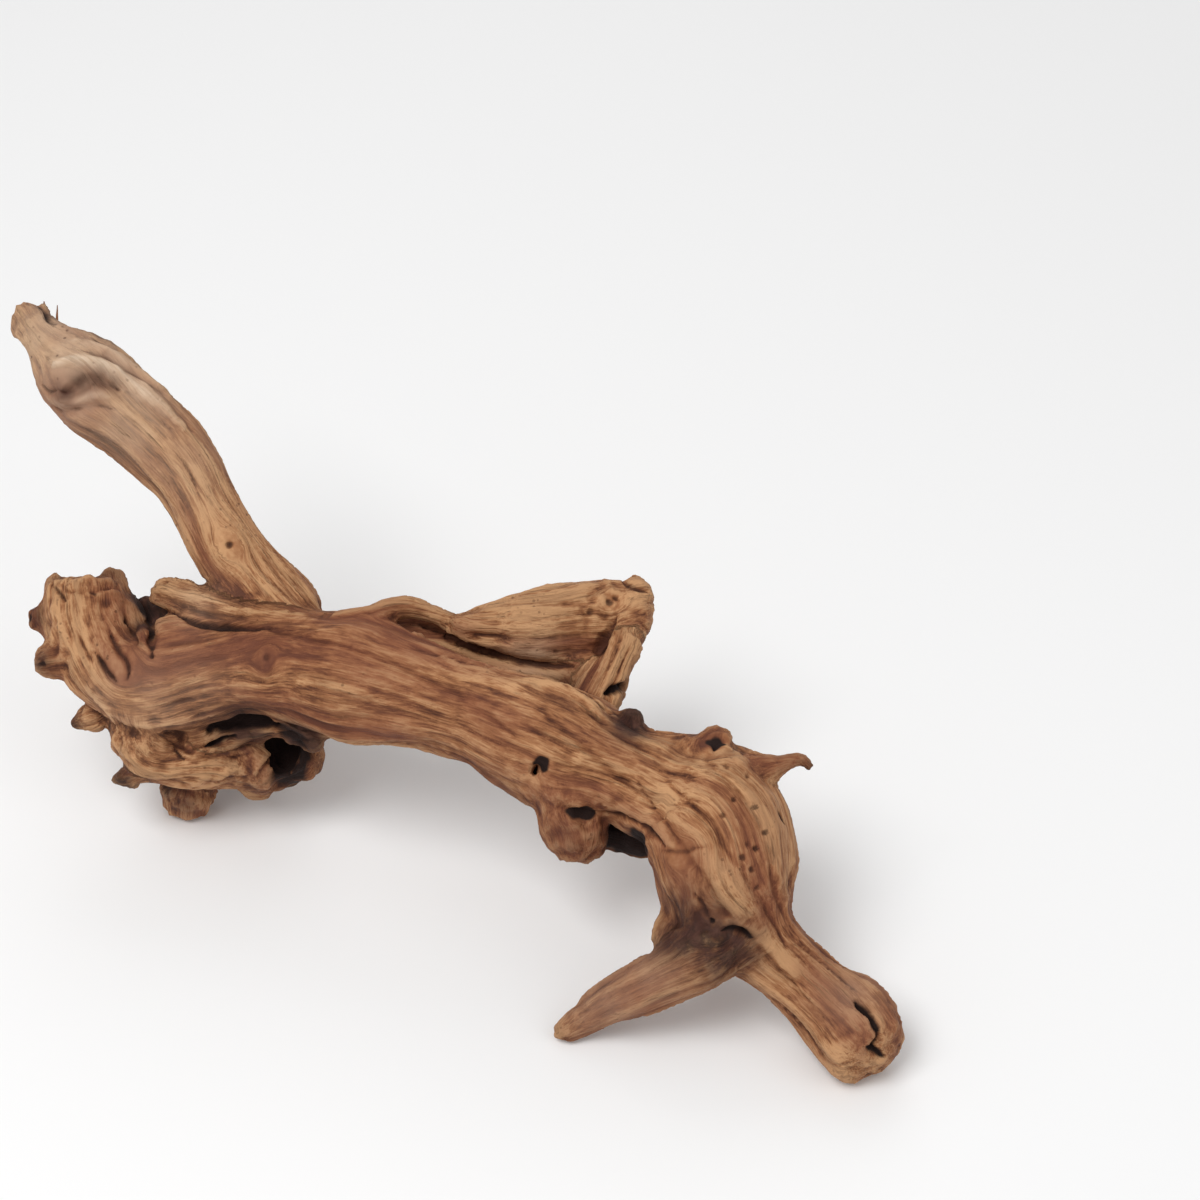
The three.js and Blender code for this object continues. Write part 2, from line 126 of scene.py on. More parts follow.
# Grooves and folds that show: name: (points on the card, half width, depth, how dark the painted shade in it
# is)
GROOVES = {
    "long crack": ([(-0.1345, -0.0006), (-0.129, -0.0036), (-0.123, -0.0063), (-0.117, -0.0081),
        (-0.1065, -0.0088), (-0.098, -0.0092)], 0.0013, 0.0018, 0.65),
    "crease after the long crack": ([(-0.101, -0.009), (-0.091, -0.0112), (-0.082, -0.0131),
        (-0.074, -0.0145)], 0.0013, 0.0009, 0.35),
    "gap behind the burl": ([(-0.1401, 0.003), (-0.1371, -0.0009), (-0.1353, -0.0066), (-0.1347, -0.012),
        (-0.1344, -0.0176)], 0.0018, 0.0014, 0.6),
    "slot": ([(-0.053, -0.008), (-0.048, -0.0102), (-0.0426, -0.0129), (-0.036, -0.015), (-0.0285, -0.0171),
        (-0.021, -0.0194), (-0.0135, -0.02), (-0.0075, -0.0199)], 0.0015, 0.0018, 0.25),
    "slot's upper line": ([(-0.056, -0.0068), (-0.05, -0.0082), (-0.044, -0.0108), (-0.0387, -0.0128)],
        0.0012, 0.0009, 0.5),
    "valley beside the shoulder": ([(0.0052, -0.0056), (0.0028, -0.009), (0.0004, -0.0124),
        (0.0004, -0.0156), (-0.0012, -0.0182)], 0.0024, 0.0016, 0.3),
    "across the shoulder's top": ([(0.006, 0.005), (0.01, 0.0028), (0.0141, 0.002)], 0.0011, 0.0011, 0.6),
    "notch": ([(0.0016, -0.0278), (0.006, -0.0264), (0.011, -0.0246)], 0.0018, 0.0034, 0.9),
    "below the notch": ([(-0.0037, -0.0288), (0.0007, -0.0317), (0.0036, -0.0346)], 0.0012, 0.0012, 0.6),
    "beside the notch": ([(-0.007, -0.033), (-0.002, -0.0352), (0.003, -0.038)], 0.0011, 0.0009, 0.4),
    "brow over the knob's hollow": ([(-0.001, -0.0622), (0.0056, -0.0642), (0.0117, -0.066),
        (0.0165, -0.07), (0.0198, -0.074)], 0.0014, 0.0015, 0.6),
    "fold across the trunk": ([(0.019, -0.0752), (0.0251, -0.0756), (0.0323, -0.0738)],
        0.001, 0.0007, 0.45),
    "crack above the fork": ([(0.0287, -0.088), (0.0308, -0.0915), (0.0325, -0.0943), (0.0341, -0.0962)],
        0.0008, 0.0012, 0.6),
    "fold at the fork": ([(0.0366, -0.099), (0.0395, -0.0978), (0.0425, -0.0988), (0.0456, -0.1014)],
        0.0012, 0.0018, 0.8),
    "foot slit": ([(0.0765, -0.1208), (0.0805, -0.1236), (0.083, -0.1275), (0.0838, -0.1316)],
        0.0016, 0.003, 1.0),
    "between the foot's slits": ([(0.0838, -0.1302), (0.0832, -0.1324), (0.0806, -0.1344)],
        0.0013, 0.0016, 0.6),
    "foot's lower slit": ([(0.0796, -0.134), (0.0822, -0.1352), (0.0846, -0.1366)], 0.0013, 0.002, 0.95),
    "burl's long furrow": ([(-0.1471, -0.0091), (-0.145, -0.0135), (-0.1428, -0.0171), (-0.1412, -0.0208),
        (-0.142, -0.024)], 0.0013, 0.0018, 0.62),
    "burl's short furrow": ([(-0.1515, -0.0157), (-0.1495, -0.019), (-0.147, -0.0225), (-0.1448, -0.025)],
        0.0013, 0.0018, 0.62),
    "burl's left furrow": ([(-0.156, -0.011), (-0.1545, -0.015), (-0.152, -0.019)], 0.0012, 0.0013, 0.4),
    "burl's right furrow": ([(-0.1425, -0.004), (-0.1405, -0.009), (-0.1385, -0.014)], 0.0012, 0.0014, 0.5),
    "burl's top crease": ([(-0.1643, 0.0046), (-0.1622, 0.0022), (-0.16, -0.0006)], 0.001, 0.0012, 0.6),
    "burl's rim": ([(-0.161, 0.003), (-0.156, 0.002), (-0.151, 0.003), (-0.145, 0.0036)],
        0.0012, 0.0009, 0.3),
    "root slit": ([(-0.1185, -0.044), (-0.115, -0.0424), (-0.109, -0.0408)], 0.0014, 0.0022, 0.95),
    "root crack": ([(-0.1278, -0.0438), (-0.1266, -0.046), (-0.1246, -0.0482)], 0.0009, 0.0012, 0.7),
    "under the trunk": ([(-0.1175, -0.0392), (-0.112, -0.0366), (-0.107, -0.0354), (-0.102, -0.0354),
        (-0.0975, -0.0372)], 0.004, 0.0024, 1.0),
    "under the trunk's right end": ([(-0.0985, -0.0366), (-0.093, -0.0392), (-0.088, -0.0424)],
        0.0024, 0.0014, 0.7),
    "hollow's rim": ([(-0.1002, -0.0424), (-0.1002, -0.049), (-0.0965, -0.053), (-0.0915, -0.0526),
        (-0.0885, -0.0474), (-0.09, -0.0424), (-0.0951, -0.0398), (-0.099, -0.041)], 0.0032, 0.0013, 0.85),
    "root's long fold": ([(-0.13, -0.042), (-0.12, -0.047), (-0.112, -0.048), (-0.105, -0.046)],
        0.0014, 0.0011, 0.4),
    "arm's fold": ([(-0.1622, 0.0628), (-0.16, 0.0614), (-0.1574, 0.0642), (-0.153, 0.0662),
        (-0.1482, 0.0654), (-0.144, 0.0628)], 0.0023, 0.0022, 0.26),
    "arm's curl": ([(-0.1664, 0.065), (-0.165, 0.0622), (-0.1626, 0.063)], 0.0011, 0.001, 0.55),
    "arm's lower fold": ([(-0.165, 0.059), (-0.161, 0.057), (-0.156, 0.0572), (-0.15, 0.0584),
        (-0.145, 0.057)], 0.0012, 0.0008, 0.35),
    "behind the arm's crest": ([(-0.159, 0.0752), (-0.15, 0.0738), (-0.141, 0.068), (-0.131, 0.0604),
        (-0.123, 0.05)], 0.0016, 0.0011, 0.3),
    "below the arm's crest": ([(-0.15, 0.069), (-0.143, 0.0642), (-0.136, 0.0582), (-0.129, 0.051)],
        0.0013, 0.0009, 0.3),
    "arm's back line": ([(-0.16, 0.08), (-0.148, 0.0762), (-0.138, 0.0694)], 0.0012, 0.0008, 0.34),
    "arm's long line": ([(-0.144, 0.056), (-0.1363, 0.0501), (-0.129, 0.0435)], 0.001, 0.0006, 0.3),
    "arm's crack": ([(-0.127, 0.044), (-0.124, 0.04), (-0.1222, 0.0365), (-0.1208, 0.032)],
        0.0009, 0.0008, 0.5),
    "arm tip's notch": ([(-0.169, 0.0885), (-0.1665, 0.085), (-0.1628, 0.082)], 0.0014, 0.0016, 0.7),
    "right flank slit": ([(0.052, -0.0636), (0.0549, -0.0676)], 0.001, 0.0012, 0.85),
    "trunk's near line": ([(-0.078, -0.0144), (-0.0654, -0.0177), (-0.0504, -0.024), (-0.0354, -0.0327),
        (-0.0249, -0.0411)], 0.0014, 0.0008, 0.3),
    "trunk's line to the knot hole": ([(-0.0186, -0.0336), (-0.0078, -0.0411), (0.0027, -0.0507),
        (0.0156, -0.0612)], 0.0013, 0.0008, 0.32),
    "trunk's line past the notch": ([(-0.0111, -0.0273), (-0.0036, -0.0336), (0.0048, -0.0411),
        (0.0177, -0.0474)], 0.0013, 0.0009, 0.36),
    "trunk's line from the notch": ([(-0.0036, -0.0282), (0.0006, -0.0327), (0.0069, -0.0348),
        (0.0123, -0.0411)], 0.0012, 0.0009, 0.4),
    "flank's middle line": ([(0.0177, -0.0513), (0.0294, -0.0633), (0.039, -0.0762), (0.0486, -0.0906),
        (0.0555, -0.1047)], 0.0014, 0.0009, 0.34),
    "line to the foot": ([(0.0117, -0.0549), (0.0213, -0.069), (0.0294, -0.081), (0.0378, -0.0942),
        (0.0486, -0.1047), (0.0591, -0.1167), (0.0675, -0.126)], 0.0015, 0.0009, 0.34),
    "flank's right line": ([(0.0318, -0.0489), (0.0438, -0.0597), (0.0498, -0.0738), (0.0531, -0.0906),
        (0.0579, -0.0999)], 0.0013, 0.0008, 0.3),
    "spur's upper line": ([(0.025, -0.106), (0.013, -0.113), (0.001, -0.12), (-0.009, -0.127)],
        0.0012, 0.0008, 0.3),
}
# Crests that show: name: (points on the card, half width, height, how pale: partly sun-worn wood, partly
# painted highlight)
CRESTS = {
    "arm's crest": ([(-0.163, 0.0706), (-0.156, 0.0722), (-0.149, 0.0704), (-0.14, 0.0644), (-0.132, 0.058),
        (-0.1256, 0.0506)], 0.002, 0.0013, 1.0),
    "arm's second crest": ([(-0.159, 0.0778), (-0.149, 0.0752), (-0.139, 0.0682), (-0.13, 0.06)],
        0.0014, 0.0008, 0.5),
    "arm's fold lip": ([(-0.1662, 0.0618), (-0.162, 0.0594), (-0.157, 0.0596), (-0.152, 0.0618),
        (-0.147, 0.0606)], 0.0014, 0.001, 0.35),
    "fin's lower lip": ([(-0.048, -0.0082), (-0.04, -0.0106), (-0.0306, -0.0136), (-0.022, -0.016),
        (-0.01, -0.0172)], 0.002, 0.0012, 0.8),
    "trunk's crest": ([(-0.0078, -0.0462), (0.0126, -0.05), (0.0215, -0.0596), (0.028, -0.069),
        (0.035, -0.0809), (0.042, -0.0933), (0.05, -0.103), (0.059, -0.112)], 0.0034, 0.0009, 0.4),
    "slot's near lip": ([(-0.056, -0.011), (-0.048, -0.0135), (-0.04, -0.0165), (-0.03, -0.0196),
        (-0.02, -0.022), (-0.009, -0.0225)], 0.0018, 0.001, 0.7),
    "trunk's upper crest": ([(-0.048, -0.018), (-0.036, -0.0235), (-0.024, -0.0262), (-0.011, -0.027),
        (-0.001, -0.033)], 0.0026, 0.0009, 0.4),
    "lip's crest": ([(-0.133, 0.004), (-0.1225, 0.001), (-0.112, -0.002), (-0.1, -0.0055),
        (-0.085, -0.007)], 0.0018, 0.0007, 0.5),
    "brow": ([(-0.001, -0.06), (0.006, -0.0618), (0.013, -0.064), (0.0185, -0.0685), (0.0225, -0.074)],
        0.0018, 0.0009, 0.4),
    "fork's fold": ([(0.038, -0.0955), (0.042, -0.0968), (0.047, -0.1)], 0.0014, 0.0011, 0.9),
    "root's crest": ([(-0.125, -0.047), (-0.116, -0.045), (-0.106, -0.0412), (-0.098, -0.0385)],
        0.0018, 0.0013, 0.5),
    "whorl's rim": ([(-0.153, -0.0262), (-0.147, -0.033), (-0.138, -0.0366), (-0.127, -0.0362),
        (-0.116, -0.033)], 0.0022, 0.001, 0.6),
    "hollow's pale lip": ([(-0.1035, -0.052), (-0.103, -0.0478), (-0.1012, -0.044)], 0.0013, 0.0012, 0.6),
}
# Knot holes, worm holes and pits that show: (across, rise, radius, depth, how dark the painted shade in it
# is)
HOLES = [
    (-0.0178, -0.0492, 0.0021, 0.0012, 1.0), (-0.0184, -0.0511, 0.0021, 0.001, 1.0),
    (-0.0189, -0.0505, 0.0036, 0.0, 1.0), (-0.0192, -0.0527, 0.0017, 0.001, 1.0),
    (-0.0075, -0.0628, 0.0024, 0.0, 1.0), (-0.0045, -0.063, 0.0026, 0.0, 1.0),
    (0.0342, -0.0448, 0.0024, 0.0, 1.0), (-0.0962, -0.046, 0.0072, 0.0, 1.0),
    (-0.0935, -0.05, 0.0045, 0.001, 1.0), (-0.09, -0.045, 0.0035, 0.001, 0.9),
    (-0.0995, -0.042, 0.004, 0.001, 0.9), (0.0085, -0.07, 0.006, 0.0, 1.0),
    (0.003, -0.0705, 0.004, 0.0, 0.9), (0.013, -0.0715, 0.004, 0.0, 0.9),
    (-0.142, -0.0066, 0.001, 0.001, 0.6), (-0.1359, -0.004, 0.004, 0.0, 0.7),
    (-0.1346, -0.0168, 0.0008, 0.0008, 0.55), (-0.1519, 0.0018, 0.0009, 0.0008, 0.6),
    (-0.1715, -0.0053, 0.0013, 0.0014, 0.8), (-0.1675, -0.019, 0.0012, 0.0014, 0.7),
    (-0.1112, 0.0165, 0.0011, 0.0009, 0.6), (-0.0996, -0.0174, 0.0009, 0.0006, 0.5),
    (0.0024, -0.001, 0.0012, 0.0011, 0.6), (0.0044, 0.0002, 0.001, 0.001, 0.5),
    (-0.003, -0.0036, 0.001, 0.0008, 0.5), (0.0338, -0.0958, 0.0008, 0.0014, 0.8),
    (0.0465, -0.0747, 0.0009, 0.0009, 0.62), (0.0425, -0.0774, 0.0009, 0.0009, 0.62),
    (0.0452, -0.0809, 0.0009, 0.0009, 0.62), (0.0474, -0.0863, 0.0008, 0.0008, 0.55),
    (0.0367, -0.0649, 0.0008, 0.0008, 0.55), (0.0438, -0.0533, 0.0008, 0.0008, 0.55),
    (0.0376, -0.0507, 0.0008, 0.0008, 0.55), (0.049, -0.07, 0.0008, 0.0008, 0.55),
    (0.04, -0.06, 0.0008, 0.0008, 0.55), (0.046, -0.0625, 0.0008, 0.0008, 0.55),
    (0.044, -0.0735, 0.0008, 0.0008, 0.55),
]
# Round spots that show: (across, rise, radius, strength)
SPOTS = {
    # Knots that the grain bends round: these have no strength
    "knots": [(-0.019, -0.0506, 0.0042), (-0.006, -0.0628, 0.0034), (0.0342, -0.0448, 0.005),
        (-0.0962, -0.046, 0.009), (-0.1112, 0.0165, 0.004), (-0.0996, -0.0174, 0.003),
        (0.0036, -0.0006, 0.004), (-0.143, -0.02, 0.005), (0.034, -0.099, 0.005), (-0.1235, -0.056, 0.006),
        (-0.159, 0.064, 0.0045), (0.025, -0.076, 0.0035)],
    # Dark purple-brown stains, and painted shade in the knob's recess, under the trunk, round the root's deep
    # pit, in the gap behind the burl and in the arm's fold
    "stain_and_shade": [(0.029, -0.0985, 0.01, 1.0), (0.0365, -0.105, 0.009, 1.0), (0.023, -0.1015, 0.007, 0.9),
        (0.043, -0.106, 0.006, 0.8), (0.0087, -0.0378, 0.005, 1.5), (0.0106, -0.0343, 0.004, 1.6),
        (-0.1371, -0.003, 0.005, 2.0), (-0.135, -0.002, 0.0042, 2.0),
        (-0.1335, -0.0055, 0.0036, 2.0), (-0.1362, -0.0085, 0.003, 1.8), (-0.1255, -0.06, 0.005, 0.6),
        (-0.129, -0.057, 0.0034, 0.8), (-0.1355, -0.009, 0.0045, 1.0), (-0.17, -0.0053, 0.0035, 0.8),
        (-0.168, -0.0188, 0.0035, 0.7), (-0.148, 0.0075, 0.0055, 0.5),
        (-0.162, 0.006, 0.004, 0.5), (-0.156, 0.0652, 0.0036, 0.5), (-0.151, 0.0662, 0.0036, 0.5),
        (-0.1465, 0.065, 0.003, 0.35), (-0.1608, 0.062, 0.0036, 0.55), (0.002, -0.069, 0.007, 1.0),
        (0.009, -0.07, 0.007, 1.3), (0.0135, -0.0727, 0.004, 1.6), (-0.096, -0.046, 0.0105, 1.0),
        (-0.106, -0.0356, 0.0085, 1.4), (-0.09, -0.041, 0.007, 1.2), (-0.159, -0.0375, 0.0036, 1.0),
        (0.0625, -0.051, 0.0022, 0.7), (-0.1655, 0.085, 0.004, 0.7), (0.021, -0.092, 0.004, 0.5),
        (-0.01, -0.072, 0.007, 0.35), (-0.144, -0.0545, 0.005, 0.8)],
    # Sun-bleached, greyer wood
    "bleached": [(-0.17, 0.082, 0.016, 0.9), (-0.156, 0.069, 0.018, 1.1), (-0.143, 0.056, 0.016, 0.9),
        (-0.129, 0.04, 0.014, 0.5), (-0.135, -0.032, 0.013, 0.28), (-0.148, -0.03, 0.009, 0.3),
        (-0.122, -0.028, 0.012, 0.2), (0.001, -0.12, 0.012, 0.45), (0.015, -0.112, 0.01, 0.35),
        (0.076, -0.118, 0.008, 0.35), (-0.12, -0.001, 0.008, 0.35), (-0.02, -0.016, 0.007, 0.35)],
    # Redder wood
    "ruddy": [(0.046, -0.075, 0.02, 1.0), (0.033, -0.056, 0.014, 0.7), (0.006, -0.043, 0.018, 0.6),
        (-0.06, -0.02, 0.02, 0.8), (-0.102, -0.014, 0.018, 0.15),
        (-0.008, -0.072, 0.011, 1.0), (0.008, -0.119, 0.018, 0.8), (0.07, -0.122, 0.016, 0.5),
        (-0.161, 0.0615, 0.007, 1.6), (-0.153, 0.064, 0.006, 1.2), (-0.033, -0.033, 0.012, 0.6),
        (0.062, -0.05, 0.008, 0.8)],
    # Golden wood
    "golden": [(-0.018, -0.005, 0.014, 1.4), (-0.03, -0.006, 0.01, 1.0), (-0.004, -0.005, 0.012, 1.1),
        (-0.15, -0.008, 0.011, 1.0), (-0.113, 0.015, 0.02, 0.7), (-0.134, 0.042, 0.014, 0.6),
        (-0.1235, 0.0205, 0.01, 1.5), (-0.129, 0.031, 0.01, 1.3), (-0.118, -0.001, 0.01, 0.5),
        (0.024, -0.056, 0.008, 0.5), (0.056, -0.108, 0.009, 0.5), (-0.138, -0.043, 0.008, 0.6)],
    # Painted shade: darker, duller patches on the trunk's left, the whorl and the trunk's middle
    "painted_shade": [(-0.104, -0.021, 0.013, 0.9), (-0.09, -0.019, 0.014, 0.7), (-0.13, -0.031, 0.013, 1.0),
        (-0.144, -0.03, 0.01, 0.8), (-0.016, -0.033, 0.012, 0.4)],
    # Corners that are worn round
    "worn": [(-0.1269, -0.0051, 0.0045, 1.0), (-0.0987, -0.0096, 0.0035, 1.0),
        (-0.133, -0.009, 0.0035, 1.0), (-0.134, 0.004, 0.003, 0.7), (0.013, -0.072, 0.004, 0.8)],
    # Places where the wood grew gnarled and crumpled
    "gnarled": [(-0.153, 0.004, 0.012, 1.0), (-0.163, -0.008, 0.009, 1.0), (-0.148, -0.014, 0.009, 0.5),
        (-0.14, -0.044, 0.012, 0.8), (-0.118, -0.05, 0.015, 0.8), (-0.096, -0.047, 0.014, 0.9),
        (0.002, -0.001, 0.009, 1.0), (-0.16, 0.063, 0.007, 0.8), (0.083, -0.132, 0.012, 0.7),
        (0.033, -0.1, 0.011, 1.3), (0.025, -0.099, 0.008, 1.0), (-0.008, -0.07, 0.012, 1.2),
        (0.062, -0.05, 0.005, 0.8), (0.035, -0.044, 0.008, 0.7), (-0.173, 0.085, 0.009, 0.7),
        (0.009, -0.037, 0.006, 0.8), (-0.133, 0.004, 0.006, 0.6), (-0.159, -0.0375, 0.006, 0.9),
        (-0.1455, -0.054, 0.006, 0.9), (-0.1235, -0.059, 0.008, 0.8), (-0.169, -0.0188, 0.005, 0.9),
        (-0.1715, -0.0053, 0.004, 0.9)],
}
# Inner corners behind that are grown well together: (x to the right, y behind, height, radius, strength)
GROWN_TOGETHER = [
    (-0.0605, 0.052, 0.016, 0.01, 1.0), (-0.052, 0.059, 0.01, 0.01, 1.0), (-0.058, 0.059, 0.011, 0.01, 1.0),
    (-0.072, 0.021, 0.012, 0.008, 1.0), (-0.068, 0.0235, 0.02, 0.008, 1.0),
    (-0.056, 0.024, 0.021, 0.008, 1.0),
]
# Nubs that taper: (start, end, how much narrower the end is), each place as (across, rise, height)
NUBS = [
    ((-0.148, -0.0336, 0.038), (-0.1594, -0.0377, 0.033), 0.42),
    ((-0.134, -0.0484, 0.025), (-0.146, -0.0542, 0.018), 0.35),
    ((-0.158, -0.0165, 0.052), (-0.169, -0.0188, 0.049), 0.2),
]
# Fine splinters at the arm's broken end: (root, tip, radius), each place as (across, rise, height)
SPLINTERS = [
    ((-0.163, 0.0822, 0.1165), (-0.1628, 0.0884, 0.1185), 0.0005),
    ((-0.166, 0.084, 0.1172), (-0.1668, 0.0895, 0.1195), 0.0007),
    ((-0.1722, 0.085, 0.118), (-0.174, 0.0884, 0.119), 0.0009),
    ((-0.1738, 0.082, 0.1178), (-0.1762, 0.0826, 0.118), 0.0009),
]


def card(across, rise):
    """The point of the card at that place."""
    return AIM + Vector((across, 0.0, 0.0)) + CARD_UP * rise


def place(across, rise, height):
    """The place in the frame that shows at that point of the card and is that high above the floor."""
    ray = card(across, rise) - EYE
    return EYE + ray * ((height - EYE.z) / ray.z)


def linear(colour):
    """A colour as seen, turned into the light values that a shader takes."""
    return tuple(((c + 0.055) / 1.055) ** 2.4 if c > 0.04045 else c / 12.92 for c in colour)


def eased(low, high, values):
    """0 below low, 1 above high and a smooth step between them."""
    t = np.clip((values - low) / (high - low), 0.0, 1.0)
    return t * t * (3 - 2 * t)


class Grit:
    """Smooth seeded noise over rows of three numbers, from about -1 to 1."""

    def __init__(self, seed):
        draw = np.random.default_rng(seed)
        self.order = draw.permutation(256)
        slopes = draw.normal(size=(256, 3))
        self.slopes = slopes / np.linalg.norm(slopes, axis=1, keepdims=True)

    def __call__(self, rows):
        cell = np.floor(rows).astype(int)
        part = rows - cell
        ease = part**3 * (part * (part * 6 - 15) + 10)
        total = np.zeros(len(rows))
        for corner in itertools.product((0, 1), repeat=3):
            x, y, z = (cell + corner).T
            key = self.order[(self.order[(self.order[x & 255] + y) & 255] + z) & 255]
            lean = (self.slopes[key] * (part - corner)).sum(1)
            total += lean * np.prod(np.where(corner, ease, 1 - ease), axis=1)
        return 1.6 * total


# How many vertices are measured at once
BLOCK = 4000


class Surface:
    """The wood's mesh as rows of numbers: places, edges and normals, and what is measured over it."""

    def __init__(self, mesh):
        self.mesh = mesh
        self.places = np.zeros(len(mesh.vertices) * 3)
        mesh.vertices.foreach_get("co", self.places)
        self.places = self.places.reshape(-1, 3)
        pairs = np.zeros(len(mesh.edges) * 2, int)
        mesh.edges.foreach_get("vertices", pairs)
        self.a, self.b = pairs.reshape(-1, 2).T
        self.count = np.maximum(np.bincount(np.concatenate((self.a, self.b)), minlength=len(self.places)), 1)
        self.read_normals()

    def read_normals(self):
        self.mesh.vertices.foreach_set("co", self.places.ravel())
        self.mesh.update()
        normals = np.zeros(len(self.places) * 3)
        self.mesh.vertices.foreach_get("normal", normals)
        self.normals = normals.reshape(-1, 3)

    def averaged(self, values):
        """Each vertex's values, replaced by the mean of its neighbours'."""
        rows = values if values.ndim == 2 else values[:, None]
        out = np.empty_like(rows)
        for k in range(rows.shape[1]):
            column = rows[:, k]
            total = np.bincount(self.a, column[self.b], len(column))
            total = total + np.bincount(self.b, column[self.a], len(column))
            out[:, k] = total / self.count
        return out if values.ndim == 2 else out[:, 0]

    def spread(self, values, rounds):
        for _ in range(rounds):
            values = 0.5 * values + 0.5 * self.averaged(values)
        return values

    def as_tree(self):
        faces = [p.vertices[:] for p in self.mesh.polygons]
        return BVHTree.FromPolygons([tuple(p) for p in self.places], faces)

    def seen_at(self, tree, points):
        """Where places on the card fall on the wood, and which of them fall on it at all."""
        found = [tree.ray_cast(EYE, (card(*p) - EYE).normalized())[0] for p in points]
        hit = np.array([p is not None for p in found])
        return np.array([tuple(p) for p in found if p is not None]).reshape(-1, 3), hit

    def widths_from(self, marks, widths, most=2.0):
        """How many of its own half widths each vertex lies from the nearest mark, up to the most."""
        away = np.full(len(self.places), most)
        if not len(marks):
            return away
        reach = most * widths.max()
        near = np.all((self.places > marks.min(0) - reach) & (self.places < marks.max(0) + reach), axis=1)
        rows = np.flatnonzero(near)
        for start in range(0, len(rows), BLOCK):
            some = rows[start:start + BLOCK]
            gap = np.linalg.norm(self.places[some, None, :] - marks[None, :, :], axis=2) / widths[None, :]
            away[some] = np.minimum(gap.min(1), most)
        return away

    def store(self, name, values):
        kind, slot = ("FLOAT_VECTOR", "vector") if values.ndim == 2 else ("FLOAT", "value")
        attribute = self.mesh.attributes.new(name, kind, "POINT")
        attribute.data.foreach_set(slot, values.astype(np.float32).ravel())


class Flow:
    """A grain line through a limb, sampled along its length, with two directions across it."""

    STEP = 0.0012
    SMOOTHING = 16

    def __init__(self, stations):
        knots = np.array([tuple(place(*s[:3])) for s in stations])
        radii = np.array([s[3] for s in stations])
        gaps = np.linalg.norm(np.diff(knots, axis=0), axis=1)
        at = np.concatenate(([0.0], np.cumsum(gaps)))
        self.along = np.arange(0.0, at[-1], self.STEP)
        line = np.stack([np.interp(self.along, at, knots[:, k]) for k in range(3)], 1)
        for _ in range(self.SMOOTHING):
            line[1:-1] = 0.25 * line[:-2] + 0.5 * line[1:-1] + 0.25 * line[2:]
        self.line = line
        self.radius = np.interp(self.along, at, radii)
        tangent = np.gradient(line, axis=0)
        self.tangent = tangent / np.linalg.norm(tangent, axis=1, keepdims=True)
        side = np.cross(self.tangent, tuple(TO_EYE))
        self.side = side / np.linalg.norm(side, axis=1, keepdims=True)
        self.front = np.cross(self.tangent, self.side)


# The limb whose grain keeps its own width, and the thinnest that still draws the grain together
USUAL_RADIUS = 0.014
THINNEST_RADIUS = 0.003
# How far along the grain's noise each flow starts after the one before it
FLOW_SHIFT = 0.31


def unrolled(places, flows):
    """Each place against its nearest flow: (side, front, along), and how many radii away that flow is.

    The sizes across a limb are scaled with its radius, so that the grain draws together where it narrows.
    """
    rows = np.zeros((len(places), 3))
    share = np.full(len(places), 1e9)
    offset = 0.0
    for flow in flows:
        for start in range(0, len(places), BLOCK):
            some = slice(start, start + BLOCK)
            away = np.linalg.norm(places[some, None, :] - flow.line[None, :, :], axis=2) / flow.radius
            pick = away.argmin(1)
            radii = away[np.arange(len(pick)), pick]
            better = radii < share[some]
            arm = places[some] - flow.line[pick]
            swell = (USUAL_RADIUS / np.maximum(flow.radius[pick], THINNEST_RADIUS)) ** 0.7
            found = np.column_stack((
                (arm * flow.side[pick]).sum(1) * swell,
                (arm * flow.front[pick]).sum(1) * swell,
                flow.along[pick] + (arm * flow.tangent[pick]).sum(1) + offset,
            ))
            block = rows[some]
            block[better] = found[better]
            nearest = share[some]
            nearest[better] = radii[better]
        offset += FLOW_SHIFT
    return rows, share


# Sizes and colours
def length(name, description, default, least, most):
    """A property for a length, in metres."""
    return FloatProperty(
        name=name, description=description, default=default, min=least, max=most,
        subtype="DISTANCE", unit="LENGTH",
    )


def tint(name, description, default):
    """A property for a colour."""
    return FloatVectorProperty(
        name=name, description=description, default=default, size=3, min=0, max=1, subtype="COLOR",
    )


class DriftwoodSizes(bpy.types.PropertyGroup):
    """What a user would change on the wood."""

    fineness: length("Fineness", "Size of the faces that carry the carving", 0.00105, 0.0008, 0.004)
    rounding: IntProperty(
        name="Rounding", description="How far the joins between limbs are worn round",
        default=14, min=0, max=60,
    )
    rib_height: length("Rib Height", "Height of the long weathered ribs", 0.00115, 0.0, 0.004)
    rib_spacing: length("Rib Spacing", "Distance across the grain from rib to rib", 0.0068, 0.002, 0.03)
    check_depth: length("Check Depth", "Depth of the thin drying cracks along the grain", 0.0008, 0.0, 0.003)
    gnarl_height: length("Gnarl Height", "Height of the crumples in gnarled wood", 0.0009, 0.0, 0.004)
    grain_relief: length("Grain Relief", "Depth of the finest grain, as a bump", 0.00055, 0.0, 0.002)
    seed: IntProperty(name="Seed", description="Changes the ribs and cracks left to chance", default=7)


